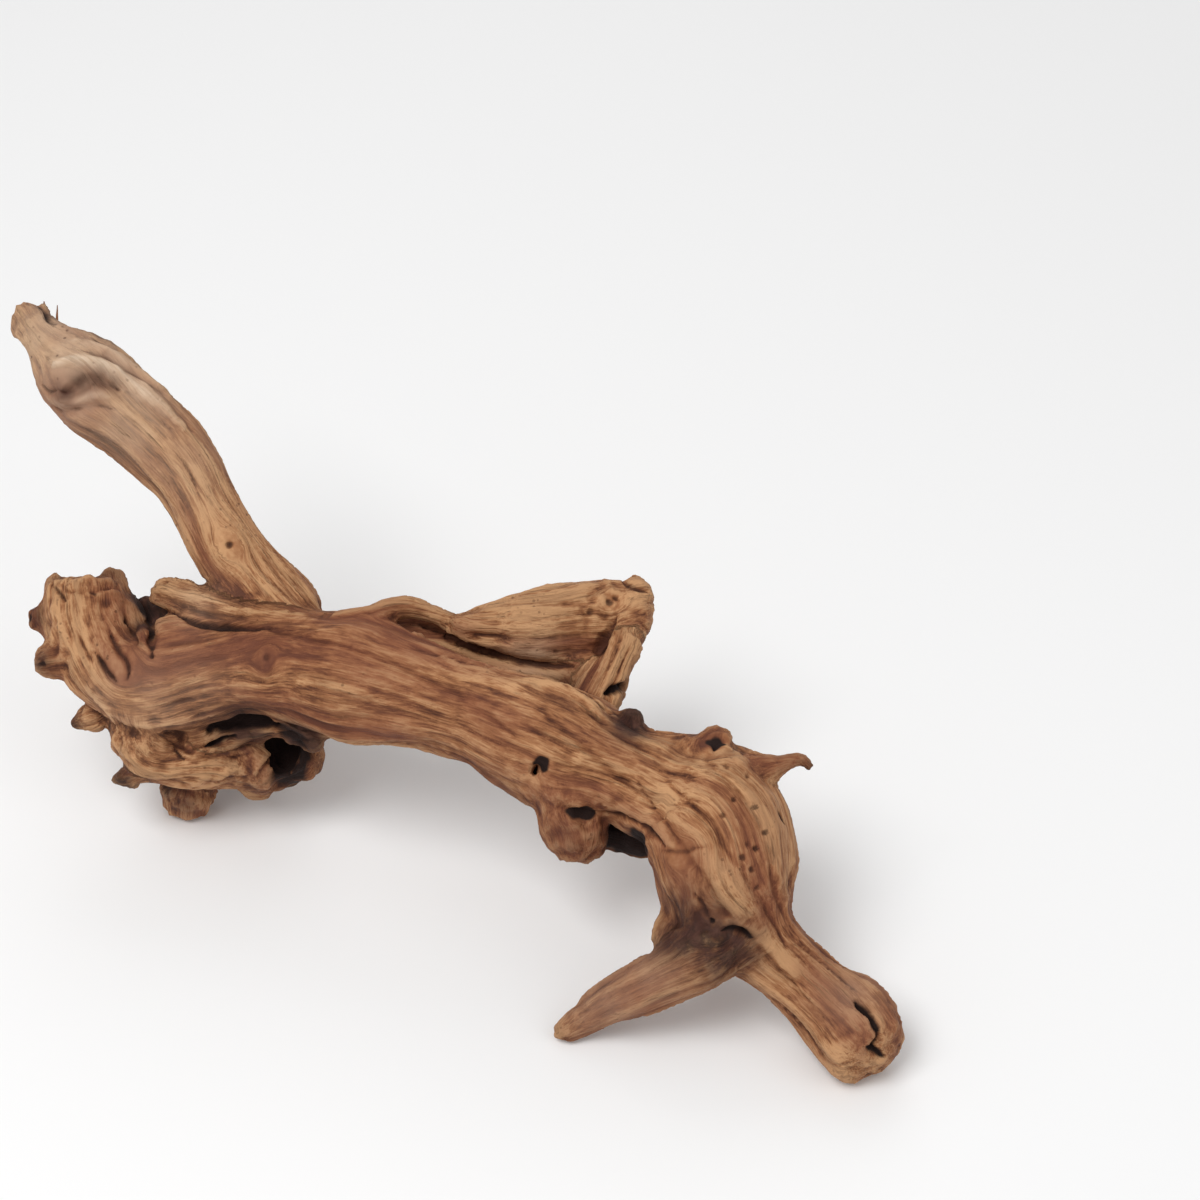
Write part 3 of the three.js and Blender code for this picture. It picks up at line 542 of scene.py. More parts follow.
class DriftwoodColours(bpy.types.PropertyGroup):
    """The wood's colours, as they look in daylight, and the painted shade in its cracks and recesses."""

    pale: tint("Pale", "Worn high ribs", (0.76, 0.575, 0.41))
    honey: tint("Honey", "Most of the surface", (0.61, 0.41, 0.265))
    brown: tint("Brown", "Darker bands of the grain", (0.45, 0.275, 0.17))
    russet: tint("Russet", "Redder patches", (0.50, 0.285, 0.20))
    # Umber also paints the shade in sunk places
    umber: tint("Umber", "Grooves and knots", (0.28, 0.15, 0.095))
    # Painted shade inside cracks, holes and recesses
    shaded_hollow: tint("Shaded Hollow", "Inside cracks and holes", (0.125, 0.065, 0.048))
    # Old stains, and painted shade in recesses
    stain_and_shade_tint: tint("Stain and Shade", "Old bark stains", (0.245, 0.14, 0.12))
    bleached: tint("Bleached", "Sun-greyed wood", (0.80, 0.69, 0.58))
    # The palest crests: partly sun-worn wood, partly painted highlight
    chalk: tint("Chalk", "The palest sun-worn crests", (0.90, 0.81, 0.71))
    floor: tint("Floor", "The plain floor", (0.95, 0.95, 0.95))


# Shader maths
class Socket:
    """A shader value that takes part in Python sums."""

    def __init__(self, tree, socket):
        self.tree = tree
        self.socket = socket

    def _maths(self, operation, *values):
        node = self.tree.nodes.new("ShaderNodeMath")
        node.operation = operation
        for slot, value in zip(node.inputs, values):
            plug(self.tree, slot, value)
        return Socket(self.tree, node.outputs[0])

    def __add__(self, other):
        return self._maths("ADD", self, other)

    def __radd__(self, other):
        return self._maths("ADD", other, self)

    def __sub__(self, other):
        return self._maths("SUBTRACT", self, other)

    def __rsub__(self, other):
        return self._maths("SUBTRACT", other, self)

    def __mul__(self, other):
        return self._maths("MULTIPLY", self, other)

    def __abs__(self):
        return self._maths("ABSOLUTE", self)

    def clamped(self):
        return self._maths("MINIMUM", self._maths("MAXIMUM", self, 0.0), 1.0)


def plug(tree, slot, value):
    if isinstance(value, Socket):
        tree.links.new(value.socket, slot)
    else:
        slot.default_value = value


class Finish:
    """A material under construction: any node in one call, with its settings first and its sockets after."""

    def __init__(self, name):
        self.material = bpy.data.materials.new(name)
        self.material.use_nodes = True
        self.tree = self.material.node_tree
        self.surface = self.tree.nodes["Principled BSDF"]

    def node(self, kind, settings=None, inputs=None, output=0):
        node = self.tree.nodes.new(kind)
        for name, value in (settings or {}).items():
            setattr(node, name, value)
        for name, value in (inputs or {}).items():
            plug(self.tree, node.inputs[name], value)
        return Socket(self.tree, node.outputs[output])

    def measured(self, name, output="Fac"):
        return self.node("ShaderNodeAttribute", {"attribute_name": name}, output=output)

    def noise(self, where, **inputs):
        return self.node("ShaderNodeTexNoise", None, {"Vector": where, **inputs})

    def streaks(self, grains, share, across, along, detail, shift, roughness):
        """Noise drawn out along two grains, and faded from the first to the second."""
        found = []
        for grain in grains:
            spot = self.node("ShaderNodeMapping", None, {
                "Vector": grain,
                "Location": (shift, shift * 0.7, shift * 1.3),
                "Scale": (1 / across, 1 / across, 1 / along),
            })
            found.append(self.noise(spot, Scale=1.0, Detail=detail, Roughness=roughness, Distortion=0.35))
        return found[0] + (found[1] - found[0]) * share

    def ramp(self, value, stops):
        node = self.tree.nodes.new("ShaderNodeValToRGB")
        ramp = node.color_ramp
        while len(ramp.elements) < len(stops):
            ramp.elements.new(0.5)
        for element, (position, colour) in zip(ramp.elements, stops):
            element.position = position
            element.color = (*colour, 1.0)
        plug(self.tree, node.inputs["Fac"], value)
        return Socket(self.tree, node.outputs["Color"])

    def mixed(self, share, first, second):
        first, second = (c if isinstance(c, Socket) else (*c, 1.0) for c in (first, second))
        return self.node("ShaderNodeMix", {"data_type": "RGBA"}, {0: share, 6: first, 7: second}, output=2)

    def set(self, name, value):
        plug(self.tree, self.surface.inputs[name], value)


# Streaks of the grain: (width, length, detail, where its noise starts, roughness)
STREAKS = {
    "broad": (0.011, 0.080, 2.0, 3.1, 0.55),
    "bands": (0.0036, 0.040, 4.0, 11.7, 0.55),
    "lines": (0.0011, 0.014, 4.0, 23.9, 0.6),
    "fibres": (0.00042, 0.0048, 3.0, 37.3, 0.6),
    "splits": (0.0050, 0.085, 3.0, 51.1, 0.5),
}
# How fine the patches, mottles and pores are, in cells to a metre
PATCHES = 42.0
MOTTLES = 330.0
PORES = 420.0
# The single numbers that the carving measures for the finish
MEASURED = (
    "limb_share", "sunk_shade", "shaded_hollow", "stain_and_shade", "bleached", "crest", "gnarl", "ruddy", "golden", "painted_shade",
)


def wood_finish(colours, sizes):
    """Weathered wood: streaks that follow each limb, painted shade in cracks, recesses and sunk places,
    stains, paler crests that are partly painted highlight, and bleached ribs.
    """
    look = Finish("weathered_wood")
    measured = (look.measured(name) for name in MEASURED)
    share, sunk_shade, shaded_hollow, stain_and_shade, bleached, crest, gnarl, ruddy, golden, painted_shade = measured
    grains = look.measured("trunk_grain", "Vector"), look.measured("limb_grain", "Vector")
    streaks = (look.streaks(grains, share, *streak) for streak in STREAKS.values())
    broad, bands, lines, fibres, splits = streaks
    umber, brown, honey, pale, russet, shade_in_hollows_tone, bark_stain_and_shade, sunned, chalky = (
        linear(getattr(colours, name))
        for name in ("umber", "brown", "honey", "pale", "russet", "shaded_hollow", "stain_and_shade_tint", "bleached", "chalk")
    )
    here = look.node("ShaderNodeTexCoord", output="Object")
    patches = look.noise(here, Scale=PATCHES, Detail=3.0, Roughness=0.6)
    mottle = look.noise(here, Scale=MOTTLES, Detail=3.0, Roughness=0.6)
    specks = look.node("ShaderNodeTexVoronoi", None, {"Vector": here, "Scale": PORES})

    tone = (
        0.5
        + (patches - 0.5) * 0.60
        + (broad - 0.5) * 0.65
        + (bands - 0.5) * 0.85
        + (lines - 0.5) * 1.10
        + (fibres - 0.5) * 0.75
        + (mottle - 0.5) * (0.25 + gnarl * 0.7)
        # Paler along the crests: partly sun-worn wood, partly painted highlight
        + crest * 0.22
        + golden * 0.14
        # Painted shade on the trunk's left, the whorl and the trunk's middle
        - painted_shade * 0.13
        - 0.03
        # Painted shade in sunk places, painted highlight on raised ones
        - sunk_shade * 0.26
    )
    colour = look.ramp(tone, [(0.14, umber), (0.34, brown), (0.54, honey), (0.80, pale)])
    warmth = ((0.56 - broad) * 4.0 + (patches - 0.5) * 2.0 + ruddy * 0.7 - golden * 0.6).clamped()
    colour = look.mixed(warmth * 0.55, colour, russet)
    greyed = (bleached * (0.75 + (patches - 0.5) * 1.6 + (bands - 0.5) * 0.8)).clamped()
    colour = look.mixed(greyed, colour, look.mixed(0.72, colour, sunned))
    colour = look.mixed((ruddy * bleached * 0.35).clamped(), colour, russet)
    # Chalk on the crests of sun-greyed wood: partly sun-worn wood, partly painted highlight
    colour = look.mixed((crest * bleached * (0.55 + (lines - 0.5) * 2.4)).clamped(), colour, chalky)

    split = (1.0 - abs(splits - 0.5) * 17.0).clamped() * ((broad - 0.50) * 7.0).clamped()
    thin_lines = ((lines - 0.57) * 8.0).clamped() * ((bands - 0.48) * 8.0).clamped()
    colour = look.mixed((thin_lines * 0.55 + split * 0.30).clamped(), colour, umber)
    patchy = 1.15 + (bands - 0.5) * 1.8 + (patches - 0.5) * 1.8 + (mottle - 0.5) * gnarl * 2.0
    # Old stains, and painted shade in the recesses round the knob, the root and the burl
    deep = look.mixed(((mottle + lines - 0.82) * 4.0).clamped(), shade_in_hollows_tone, bark_stain_and_shade)
    colour = look.mixed((stain_and_shade * patchy).clamped() * 0.92, colour, deep)
    # Painted shade in sunk places
    colour = look.mixed(((sunk_shade - 0.35) * 1.4).clamped() * 0.65, colour, umber)
    # Painted shade inside cracks, holes and recesses
    dark = ((shaded_hollow - 0.34 + (bands - 0.5) * 0.45 + (mottle - 0.5) * 0.45) * 2.3).clamped()
    colour = look.mixed(dark, colour, shade_in_hollows_tone)
    pores = ((0.20 - specks) * 9.0).clamped() * ((patches - 0.50) * 6.0).clamped()
    colour = look.mixed(pores * 0.55, colour, umber)

    look.set("Base Color", colour)
    look.set("Roughness", (0.74 + (lines - 0.5) * 0.30 + shaded_hollow * 0.15).clamped())
    look.set("Specular IOR Level", 0.25)
    relief = lines * 1.1 + fibres * 0.55 + bands * 0.8 + mottle * (0.15 + gnarl * 0.5)
    relief = relief - pores * 0.5 - thin_lines * 0.6 - split * 0.6
    look.set("Normal", look.node("ShaderNodeBump", None, {
        "Strength": 1.0, "Distance": sizes.grain_relief, "Height": relief,
    }))
    return look.material


def linked(name, data):
    """A new object in the scene."""
    thing = bpy.data.objects.new(name, data)
    bpy.context.scene.collection.objects.link(thing)
    return thing


# The wood's shape
def fused(node, fineness):
    """A copy of the solid with its limbs fused into one even skin of small faces."""
    shape = bmesh.new()
    shape.from_mesh(node.data)
    bmesh.ops.remove_doubles(shape, verts=shape.verts, dist=1e-6)
    bmesh.ops.recalc_face_normals(shape, faces=shape.faces)
    mesh = bpy.data.meshes.new("wood_blank")
    shape.to_mesh(mesh)
    shape.free()
    blank = linked("wood_blank", mesh)
    skin = blank.modifiers.new("skin", "REMESH")
    skin.mode = "VOXEL"
    skin.voxel_size = fineness
    skin.use_smooth_shade = True
    even = bpy.data.meshes.new_from_object(blank.evaluated_get(bpy.context.evaluated_depsgraph_get()))
    bpy.data.objects.remove(blank)
    return even


def rounded(points):
    """The same line with its corners cut, twice."""
    line = np.array(points)
    for _ in range(2):
        ahead, behind = 0.75 * line[:-1] + 0.25 * line[1:], 0.25 * line[:-1] + 0.75 * line[1:]
        line = np.concatenate((line[:1], np.stack((ahead, behind), 1).reshape(-1, 2), line[-1:]))
    return line


# How strokes are laid: the gap from mark to mark, the length of a wander, and its share of the width
MARK_GAP = 0.0004
WANDER_LENGTH = 0.0040
WANDER = 0.30
# How much of a stroke at each end runs thin, how thin it gets, and how much its width swells
THIN_END = 0.30
THINNEST_END = 0.15
SWELL = 0.45


def stroke(wood, tree, points, width, grit):
    """A line drawn on the wood from its points on the card: marks along it and the half width at each.

    It runs thin towards both ends, and wanders and swells a little, as cracks and furrows in old wood do.
    """
    line = rounded(points)
    at = np.concatenate(([0.0], np.cumsum(np.linalg.norm(np.diff(line, axis=0), axis=1))))
    along = np.arange(0.0, at[-1], MARK_GAP)
    path = np.stack([np.interp(along, at, line[:, k]) for k in range(2)], 1)
    spots = np.column_stack((path / WANDER_LENGTH, np.full(len(path), 0.5)))
    path += WANDER * width * np.stack((grit(spots + 7.3), grit(spots + 31.9)), 1)
    share = along / at[-1]
    slim = np.clip(np.minimum(share, 1 - share) / THIN_END, THINNEST_END, 1.0) ** 0.6
    widths = width * slim * (1 + SWELL * grit(spots + 3.1))
    marks, hit = wood.seen_at(tree, path)
    return marks, widths[hit]


def drawn(wood, tree, table, grit):
    """The strokes of a table, each (marks, half widths), depth or height, and how dark or pale."""
    return [(stroke(wood, tree, line, width, grit), *rest) for line, width, *rest in table.values()]


def seen_spots(wood, tree, table):
    """The spots of a table that fall on the wood, each (where, then the rest of its row)."""
    found = [(wood.seen_at(tree, [spot[:2]])[0], *spot[2:]) for spot in table]
    return [(at[0], *rest) for at, *rest in found if len(at)]


# How many half widths round a mark get finer faces, and the least half width that counts
FINE_REACH = 1.6
FINE_WIDTH = 0.0009


def refined(mesh, strokes):
    """The same skin with its faces halved near the marks, where narrow cracks and holes are cut."""
    wood = Surface(mesh)
    near = np.zeros(len(wood.places), bool)
    for marks, widths in strokes:
        near |= wood.widths_from(marks, np.maximum(widths, FINE_WIDTH), FINE_REACH) < FINE_REACH
    shape = bmesh.new()
    shape.from_mesh(mesh)
    shape.verts.ensure_lookup_table()
    edges = [e for e in shape.edges if near[e.verts[0].index] and near[e.verts[1].index]]
    bmesh.ops.subdivide_edges(shape, edges=edges, cuts=1, use_grid_fill=True)
    bmesh.ops.triangulate(shape, faces=[f for f in shape.faces if len(f.verts) > 4])
    shape.to_mesh(mesh)
    shape.free()
    return mesh


# The share of its way to its neighbours that a vertex moves in a round: out of a corner, and otherwise
FILLING = 0.9
SLIDING = 0.18


def filleted(wood, rounds, kept):
    """Fills the sharp inner corners where limbs meet, as years of wear do, but not where wood is kept."""
    free = (1 - kept)[:, None]
    for _ in range(rounds):
        shift = wood.averaged(wood.places) - wood.places
        outward = np.maximum((shift * wood.normals).sum(1), 0.0)[:, None] * wood.normals
        wood.places += free * (FILLING * outward + SLIDING * (shift - outward))
        wood.read_normals()


# How far from a nub's middle line its wood reaches, with all of it within the first distance
NUB_REACH = (0.008, 0.012)


def pointed(wood, start, end, share):
    """Narrows a nub more and more from its start to its end."""
    start, end = np.array(place(*start)), np.array(place(*end))
    length = np.linalg.norm(end - start)
    axis = (end - start) / length
    along = (wood.places - start) @ axis
    sideways = wood.places - start - along[:, None] * axis
    near = eased(NUB_REACH[1], NUB_REACH[0], np.linalg.norm(sideways, axis=1))
    near = near * eased(2.2 * length, 1.8 * length, along)
    wood.places -= (share * eased(0.1 * length, length, along) * near)[:, None] * sideways
    wood.read_normals()


def softened(wood, rounds, share):
    """Draws each vertex towards its neighbours, by the share given for it."""
    for _ in range(rounds):
        wood.places += 0.5 * np.clip(share, 0, 1)[:, None] * (wood.averaged(wood.places) - wood.places)
    wood.read_normals()


def bent_round_knots(rows, wood, knots):
    """Grain rows whose lines part round each knot and close again behind it."""
    rows = rows.copy()
    for centre, radius in knots:
        gap = np.linalg.norm(wood.places - centre, axis=1)
        at = gap.argmin()
        close = gap < 5 * radius
        offset = rows[close] - rows[at]
        reach = np.linalg.norm(offset, axis=1)
        fading = eased(5 * radius, 2 * radius, gap[close]) * eased(6 * radius, 4 * radius, reach)
        pull = np.clip((radius / np.maximum(reach, 1e-6)) ** 2, 0, 1) * fading
        offset[:, :2] *= (1 - 0.9 * pull)[:, None]
        rows[close] = rows[at] + offset
    return rows


# Forms carved along the grain: (width in rib spacings, length in metres)
RIB = (1.0, 0.060)
SWELLING = (2.6, 0.045)
SMALL_RIB = (0.45, 0.024)
CHECK = (1.5, 0.110)
# Where checks open: (width, length) in metres of the stretches that have them
CHECKED = (0.022, 0.045)
# How wide a check is, as a share of its noise
CHECK_SHARE = 0.11


def drawn_out(rows, seed, across, along):
    """Seeded noise over grain rows, stretched along the grain."""
    return Grit(seed)(rows / (across, across, along))


def carved(rows, sizes, seed):
    """From grain rows, the height of the ribs and how deep each place lies in a drying crack."""
    spacing = sizes.rib_spacing
    rib, swelling, small, line = (
        drawn_out(rows, seed + number, share * spacing, along)
        for number, (share, along) in enumerate((RIB, SWELLING, SMALL_RIB, CHECK), 1)
    )
    gate = eased(0.02, 0.30, drawn_out(rows, seed + 5, *CHECKED))
    check = np.clip(1 - np.abs(line) / CHECK_SHARE, 0, 1) ** 1.3 * gate
    height = 0.55 * (1 - 2.2 * np.abs(rib)) + 1.0 * swelling + 0.52 * (1 - 2.0 * np.abs(small))
    return sizes.rib_height * height, check


def near_spots(wood, spots):
    """How strongly each vertex is touched by round spots, each (where, radius, strength), fading outwards."""
    amount = np.zeros(len(wood.places))
    for centre, radius, strength in spots:
        gap = np.linalg.norm(wood.places - centre, axis=1)
        amount = np.maximum(amount, strength * np.exp(-((gap / radius) ** 2)))
    return amount


# How far beyond a cut the filleting leaves the wood as it is, and how much wider than its hole a cut counts
CUT_MARGIN = 0.0035
HOLE_SHARE = 1.3
# How far a vertex faces the eye, from -1 to 1, where it counts as out of sight and as in sight
SIGHT = (-0.35, 0.05)
# How many times the usual rounds of filleting are spent out of sight, and in the inner corners behind
FILLETS_BEHIND = 3
FILLETS_IN_CORNERS = 4
ROUNDS_ON_WORN = 24


def worn_round(wood, cuts, spots, rounding):
    """Wears the wood's corners round, but not at its cuts, and says how far each vertex is kept."""
    kept = np.zeros(len(wood.places))
    for marks, widths in cuts:
        kept = np.maximum(kept, eased(1.0, 0.55, wood.widths_from(marks, widths + CUT_MARGIN)))
    filleted(wood, rounding, 0.9 * kept)
    in_sight = eased(*SIGHT, wood.normals @ np.array(TO_EYE))
    filleted(wood, FILLETS_BEHIND * rounding, np.maximum(in_sight, kept))
    corners = [(np.array(corner[:3]), *corner[3:]) for corner in GROWN_TOGETHER]
    filleted(wood, FILLETS_IN_CORNERS * rounding, 1 - near_spots(wood, corners))
    softened(wood, ROUNDS_ON_WORN, near_spots(wood, spots))
    for nub in NUBS:
        pointed(wood, *nub)
    return kept


# Chance knots: how many, their least and greatest radius, and how far from the eye their wood has to face
CHANCE_KNOTS = 30
CHANCE_RADII = (0.002, 0.005)
CHANCE_FACING = -0.15
# Which of them have a hole, gnarls or a stain, its sizes in radii of the knot, and its strength
CHANCE_HOLES = (slice(0, 12), (0.26, 0.4), 0.9)
CHANCE_GNARLS = (slice(8, 26), (2.4,), 0.7)
CHANCE_STAINS = (slice(18, 30), (2.0,), 0.6)


def chance_knots(wood, seed):
    """Knots at random places that face away from the line of sight, each (where, radius)."""
    draw = np.random.default_rng(seed)
    hidden = np.flatnonzero(wood.normals @ np.array(TO_EYE) < CHANCE_FACING)
    return [(wood.places[i], draw.uniform(*CHANCE_RADII)) for i in draw.choice(hidden, CHANCE_KNOTS)]


def on_knots(knots, which, shares, strength):
    """Spots on some of the knots, each (where, then its sizes, strength)."""
    return [(at, *(share * radius for share in shares), strength) for at, radius in knots[which]]


# Over how many radii, to either side, the trunk's grain gives way to a limb's
LIMB_BLEND = 0.22
# How far a limb's rows jump from vertex to vertex where no ribs are left, and where all of them are
SEAM_JUMP = (0.006, 0.0008)
# The jump below which the rows are smoothed
SEAM_SMOOTHED = 0.004


def grain(wood, knots):
    """Grain rows of the trunk and limbs, how far a vertex belongs to a limb, and where the rows are calm."""
    trunk, trunk_away = unrolled(wood.places, [Flow(TRUNK_FLOW)])
    limb, limb_away = unrolled(wood.places, [Flow(stations) for stations in LIMB_FLOWS.values()])
    closeness = wood.spread(eased(-LIMB_BLEND, LIMB_BLEND, trunk_away - limb_away), 10)
    seam = wood.spread(np.linalg.norm(limb - wood.averaged(limb), axis=1), 6)
    limb = np.where(seam[:, None] < SEAM_SMOOTHED, wood.spread(limb, 3), limb)
    trunk = bent_round_knots(wood.spread(trunk, 3), wood, knots)
    return trunk, bent_round_knots(limb, wood, knots), closeness, eased(*SEAM_JUMP, seam)


# Sizes in metres of the crumples in gnarled wood, and of the soft swells everywhere and their height
CRUMPLE = 0.0056
SMALL_CRUMPLE = 0.0030
SWELL_LENGTH = 0.012
SWELL_HEIGHT = 0.00055


def crumpled(wood, grit, height, gnarl, gnarl_height):
    """The ribs' height with crumples in place of ribs on gnarled wood, and a soft swell over all."""
    crumple = 1 - 2.4 * np.abs(grit(wood.places / CRUMPLE)) + 0.55 * grit(wood.places / SMALL_CRUMPLE + 9.7)
    height = height * (1 - 0.5 * np.clip(gnarl, 0, 1)) + gnarl_height * gnarl * crumple
    return height + SWELL_HEIGHT * grit(wood.places / SWELL_LENGTH + 5.1)


def cut_in(wood, grit, grooves, crests, holes, shaded_hollow):
    """How deep the wood is cut, less the crests' rise, how much painted shade it gets in cracks, holes and
    recesses, and how much of a crest it is.
    """
    cut = np.zeros(len(wood.places))
    crest = np.zeros(len(wood.places))
    for (marks, widths), depth, dark in grooves:
        away = wood.widths_from(marks, widths)
        cut += depth * np.clip(1 - away**2, 0, 1) ** 1.5
        # Painted shade along the groove
        shaded_hollow = np.maximum(shaded_hollow, dark * np.clip(1.3 - away, 0, 1))
    for (marks, widths), rise, pale in crests:
        away = wood.widths_from(marks, widths)
        cut -= rise * np.clip(1 - (0.75 * away) ** 2, 0, 1) ** 2
        crest = np.maximum(crest, pale * np.clip(1.1 - 0.8 * away, 0, 1))
    for centre, radius, depth, dark in holes:
        away = wood.widths_from(centre[None, :], np.full(1, radius), 2.6)
        away += 0.22 * grit(wood.places / (0.9 * radius)) * (away < 2.5)
        rim = 0.12 * radius * np.exp(-(((away - 1.5) / 0.35) ** 2))
        cut += depth * np.clip(1.1 - away, 0, 1) ** 0.6 - rim
        # Painted shade in the hole
        shaded_hollow = np.maximum(shaded_hollow, dark * eased(1.45, 0.70, away))
    return cut, shaded_hollow, crest


# How deep the wood is measured, how far under the skin that starts, and at every how many vertices
THICK = 0.020
UNDER_SKIN = 0.0004
EVERY = 3


def thickness(wood):
    """How thick the wood is under each vertex, up to THICK, by looking straight in from it."""
    tree = wood.as_tree()
    depth = np.full(len(wood.places), THICK)
    for i in range(0, len(wood.places), EVERY):
        inward = -Vector(wood.normals[i])
        found = tree.ray_cast(Vector(wood.places[i]) + inward * UNDER_SKIN, inward, THICK)[3]
        if found is not None:
            depth[i] = found
    known = np.zeros(len(depth))
    known[::EVERY] = 1.0
    total = depth * known
    for _ in range(6):
        total = wood.averaged(total) + total
        known = wood.averaged(known) + known
    return total / np.maximum(known, 1e-9)


# How thick a splinter's tip is, as a share of its root
SPLINTER_TIP = 0.25


def splinter_mesh(mesh):
    """Adds the fine splinters at the arm's broken end to the skin."""
    shape = bmesh.new()
    shape.from_mesh(mesh)
    for root, tip, radius in SPLINTERS:
        low, high = place(*root), place(*tip)
        lean = (high - low).to_track_quat("Z", "Y").to_matrix().to_4x4()
        bmesh.ops.create_cone(
            shape, cap_ends=True, segments=7, radius1=radius, radius2=SPLINTER_TIP * radius,
            depth=(high - low).length, matrix=Matrix.Translation((low + high) / 2) @ lean,
        )
    shape.to_mesh(mesh)
    shape.free()


# The thickness from which wood is carved in full, and the heights above the floor over which carving starts
FULL_THICKNESS = 0.010
ABOVE_FLOOR = (0.0002, 0.0030)
# The depth of a sunk place at which the finish paints full shade
CAVITY = 0.00030


class DRIFTWOOD_OT_wood(bpy.types.Operator):
    """Carve the fused limbs with ribs, cracks, holes and folds, and give them their weathered finish"""

    bl_idname = "driftwood.wood"
    bl_label = "Carve Driftwood"

    def execute(self, context):
        sizes = context.scene.driftwood_sizes
        grit = Grit(sizes.seed + 3)
        mesh = fused(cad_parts["driftwood"], sizes.fineness)
        wood = Surface(mesh)
        tree = wood.as_tree()
        grooves = drawn(wood, tree, GROOVES, grit)
        crests = drawn(wood, tree, CRESTS, grit)
        holes = seen_spots(wood, tree, HOLES)
        spots = {name: seen_spots(wood, tree, table) for name, table in SPOTS.items()}

        cuts = [marks for marks, _, _ in grooves]
        cuts += [(at[None, :], np.full(1, HOLE_SHARE * radius)) for at, radius, _, _ in holes]
        mesh = refined(mesh, cuts)
        wood = Surface(mesh)
        kept = worn_round(wood, cuts, spots["worn"], sizes.rounding)

        chance = chance_knots(wood, sizes.seed)
        holes += on_knots(chance, *CHANCE_HOLES)
        spots["gnarled"] += on_knots(chance, *CHANCE_GNARLS)
        spots["stain_and_shade"] += on_knots(chance, *CHANCE_STAINS)
        trunk_rows, limb_rows, closeness, calm = grain(wood, spots["knots"] + chance)
        trunk_height, trunk_check = carved(trunk_rows, sizes, 10 * sizes.seed)
        limb_height, limb_check = carved(limb_rows, sizes, 10 * sizes.seed + 5)
        height = trunk_height + (limb_height * calm - trunk_height) * closeness
        check = trunk_check + (limb_check * calm - trunk_check) * closeness
        gnarl = near_spots(wood, spots["gnarled"])
        height = crumpled(wood, grit, height, gnarl, sizes.gnarl_height) - sizes.check_depth * check
        # The drying checks start the painted shade in cracks
        cut, shaded_hollow, crest = cut_in(wood, grit, grooves, crests, holes, 0.35 * check)

        slender = eased(0.0, FULL_THICKNESS, thickness(wood))
        grounded = eased(*ABOVE_FLOOR, wood.places[:, 2])
        relief = (height * slender - cut * np.maximum(slender, 0.35)) * grounded
        wood.places += wood.normals * relief[:, None]
        wood.places[:, 2] = np.maximum(wood.places[:, 2], 0.0)
        softened(wood, 2, kept)

        # How far each vertex lies below its smoothed neighbours, for painted shade in sunk places and lighter
        # raised ones
        sunk = ((wood.spread(wood.places, 7) - wood.places) * wood.normals).sum(1)
        wood.store("trunk_grain", trunk_rows)
        wood.store("limb_grain", limb_rows)
        wood.store("limb_share", closeness)
        wood.store("sunk_shade", np.clip(wood.spread(sunk, 1) / CAVITY, -1.5, 2.0))
        wood.store("shaded_hollow", np.clip(shaded_hollow, 0, 1))
        wood.store("crest", crest)
        wood.store("gnarl", np.clip(gnarl, 0, 1))
        for name in ("stain_and_shade", "bleached", "ruddy", "golden", "painted_shade"):
            wood.store(name, near_spots(wood, spots[name]))

        splinter_mesh(mesh)
        mesh.shade_smooth()
        piece = linked("wood", mesh)
        mesh.materials.clear()
        mesh.materials.append(wood_finish(context.scene.driftwood_colours, sizes))
        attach(piece, "root")
        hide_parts("driftwood")
        print("wood triangles", sum(len(p.vertices) - 2 for p in mesh.polygons))
        return {"FINISHED"}


FLOOR_SIZE = 4.0
# Lamps, each (place, side, power)
LAMPS = {
    "key_light": ((-0.45, -0.50, 1.20), 0.7, 10.5),
    "fill_light": ((0.9, -0.7, 0.9), 1.0, 2.5),
    "back_light": ((0.1, 1.1, 1.0), 1.0, 3.0),
}
# The point that the lamps are turned to
LIT = Vector((0, 0, 0.05))


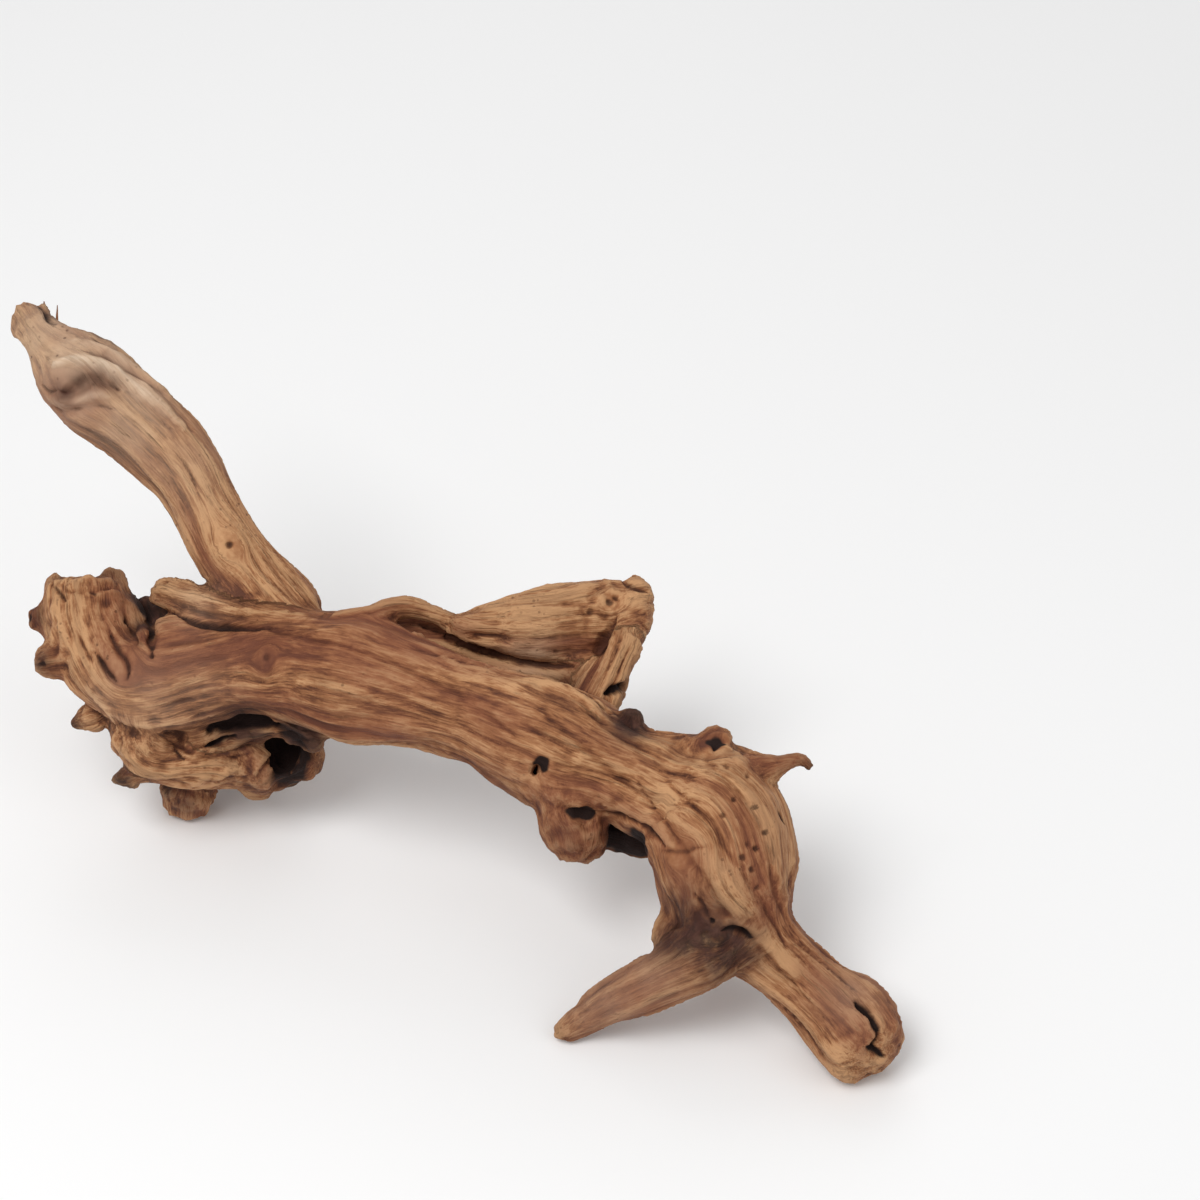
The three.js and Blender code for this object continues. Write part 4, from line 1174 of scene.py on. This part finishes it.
class DRIFTWOOD_OT_stage(bpy.types.Operator):
    """Set a plain pale floor, soft studio light and the camera"""

    bl_idname = "driftwood.stage"
    bl_label = "Set Stage"

    def execute(self, context):
        scene = context.scene
        shape = bmesh.new()
        bmesh.ops.create_grid(shape, x_segments=1, y_segments=1, size=FLOOR_SIZE)
        mesh = bpy.data.meshes.new("floor")
        shape.to_mesh(mesh)
        shape.free()
        floor = linked("floor", mesh)
        paint = Finish("floor_paint")
        paint.set("Base Color", (*linear(scene.driftwood_colours.floor), 1.0))
        paint.set("Roughness", 0.9)
        paint.set("Specular IOR Level", 0.1)
        mesh.materials.append(paint.material)

        world = bpy.data.worlds.new("studio")
        world.use_nodes = True
        world.node_tree.nodes["Background"].inputs["Color"].default_value = (1.0, 1.0, 1.0, 1.0)
        world.node_tree.nodes["Background"].inputs["Strength"].default_value = 0.50
        scene.world = world
        for name, (spot, size, power) in LAMPS.items():
            lamp = bpy.data.lights.new(name, "AREA")
            lamp.size = size
            lamp.energy = power
            light = linked(name, lamp)
            light.location = spot
            light.rotation_euler = (LIT - light.location).to_track_quat("-Z", "Y").to_euler()

        lens = bpy.data.cameras.new("camera")
        lens.lens = 85.0
        lens.sensor_width = 36.0
        lens.clip_start = 0.01
        camera = linked("camera", lens)
        camera.location = EYE
        camera.rotation_euler = (math.pi / 2 - SIGHT_ELEVATION, 0.0, 0.0)
        scene.camera = camera
        scene.view_settings.view_transform = "Standard"
        scene.view_settings.look = "None"
        scene.view_settings.exposure = 0.0
        scene.view_settings.gamma = 1.0
        return {"FINISHED"}


class DRIFTWOOD_PT_panel(bpy.types.Panel):
    """The piece's sizes, colours and steps"""

    bl_idname = "DRIFTWOOD_PT_panel"
    bl_label = "Driftwood"
    bl_space_type = "VIEW_3D"
    bl_region_type = "UI"
    bl_category = "Driftwood"

    def draw(self, context):
        layout = self.layout
        for group in (context.scene.driftwood_sizes, context.scene.driftwood_colours):
            box = layout.box()
            for name in group.__annotations__:
                box.prop(group, name)
        layout.operator("driftwood.wood")
        layout.operator("driftwood.stage")


CLASSES = (DriftwoodSizes, DriftwoodColours, DRIFTWOOD_OT_wood, DRIFTWOOD_OT_stage, DRIFTWOOD_PT_panel)


def register():
    for cls in CLASSES:
        bpy.utils.register_class(cls)
    bpy.types.Scene.driftwood_sizes = PointerProperty(type=DriftwoodSizes)
    bpy.types.Scene.driftwood_colours = PointerProperty(type=DriftwoodColours)


def unregister():
    del bpy.types.Scene.driftwood_colours
    del bpy.types.Scene.driftwood_sizes
    for cls in reversed(CLASSES):
        bpy.utils.unregister_class(cls)


def main():
    register()
    bpy.ops.driftwood.stage()
    bpy.ops.driftwood.wood()


if __name__ == "__main__":
    main()
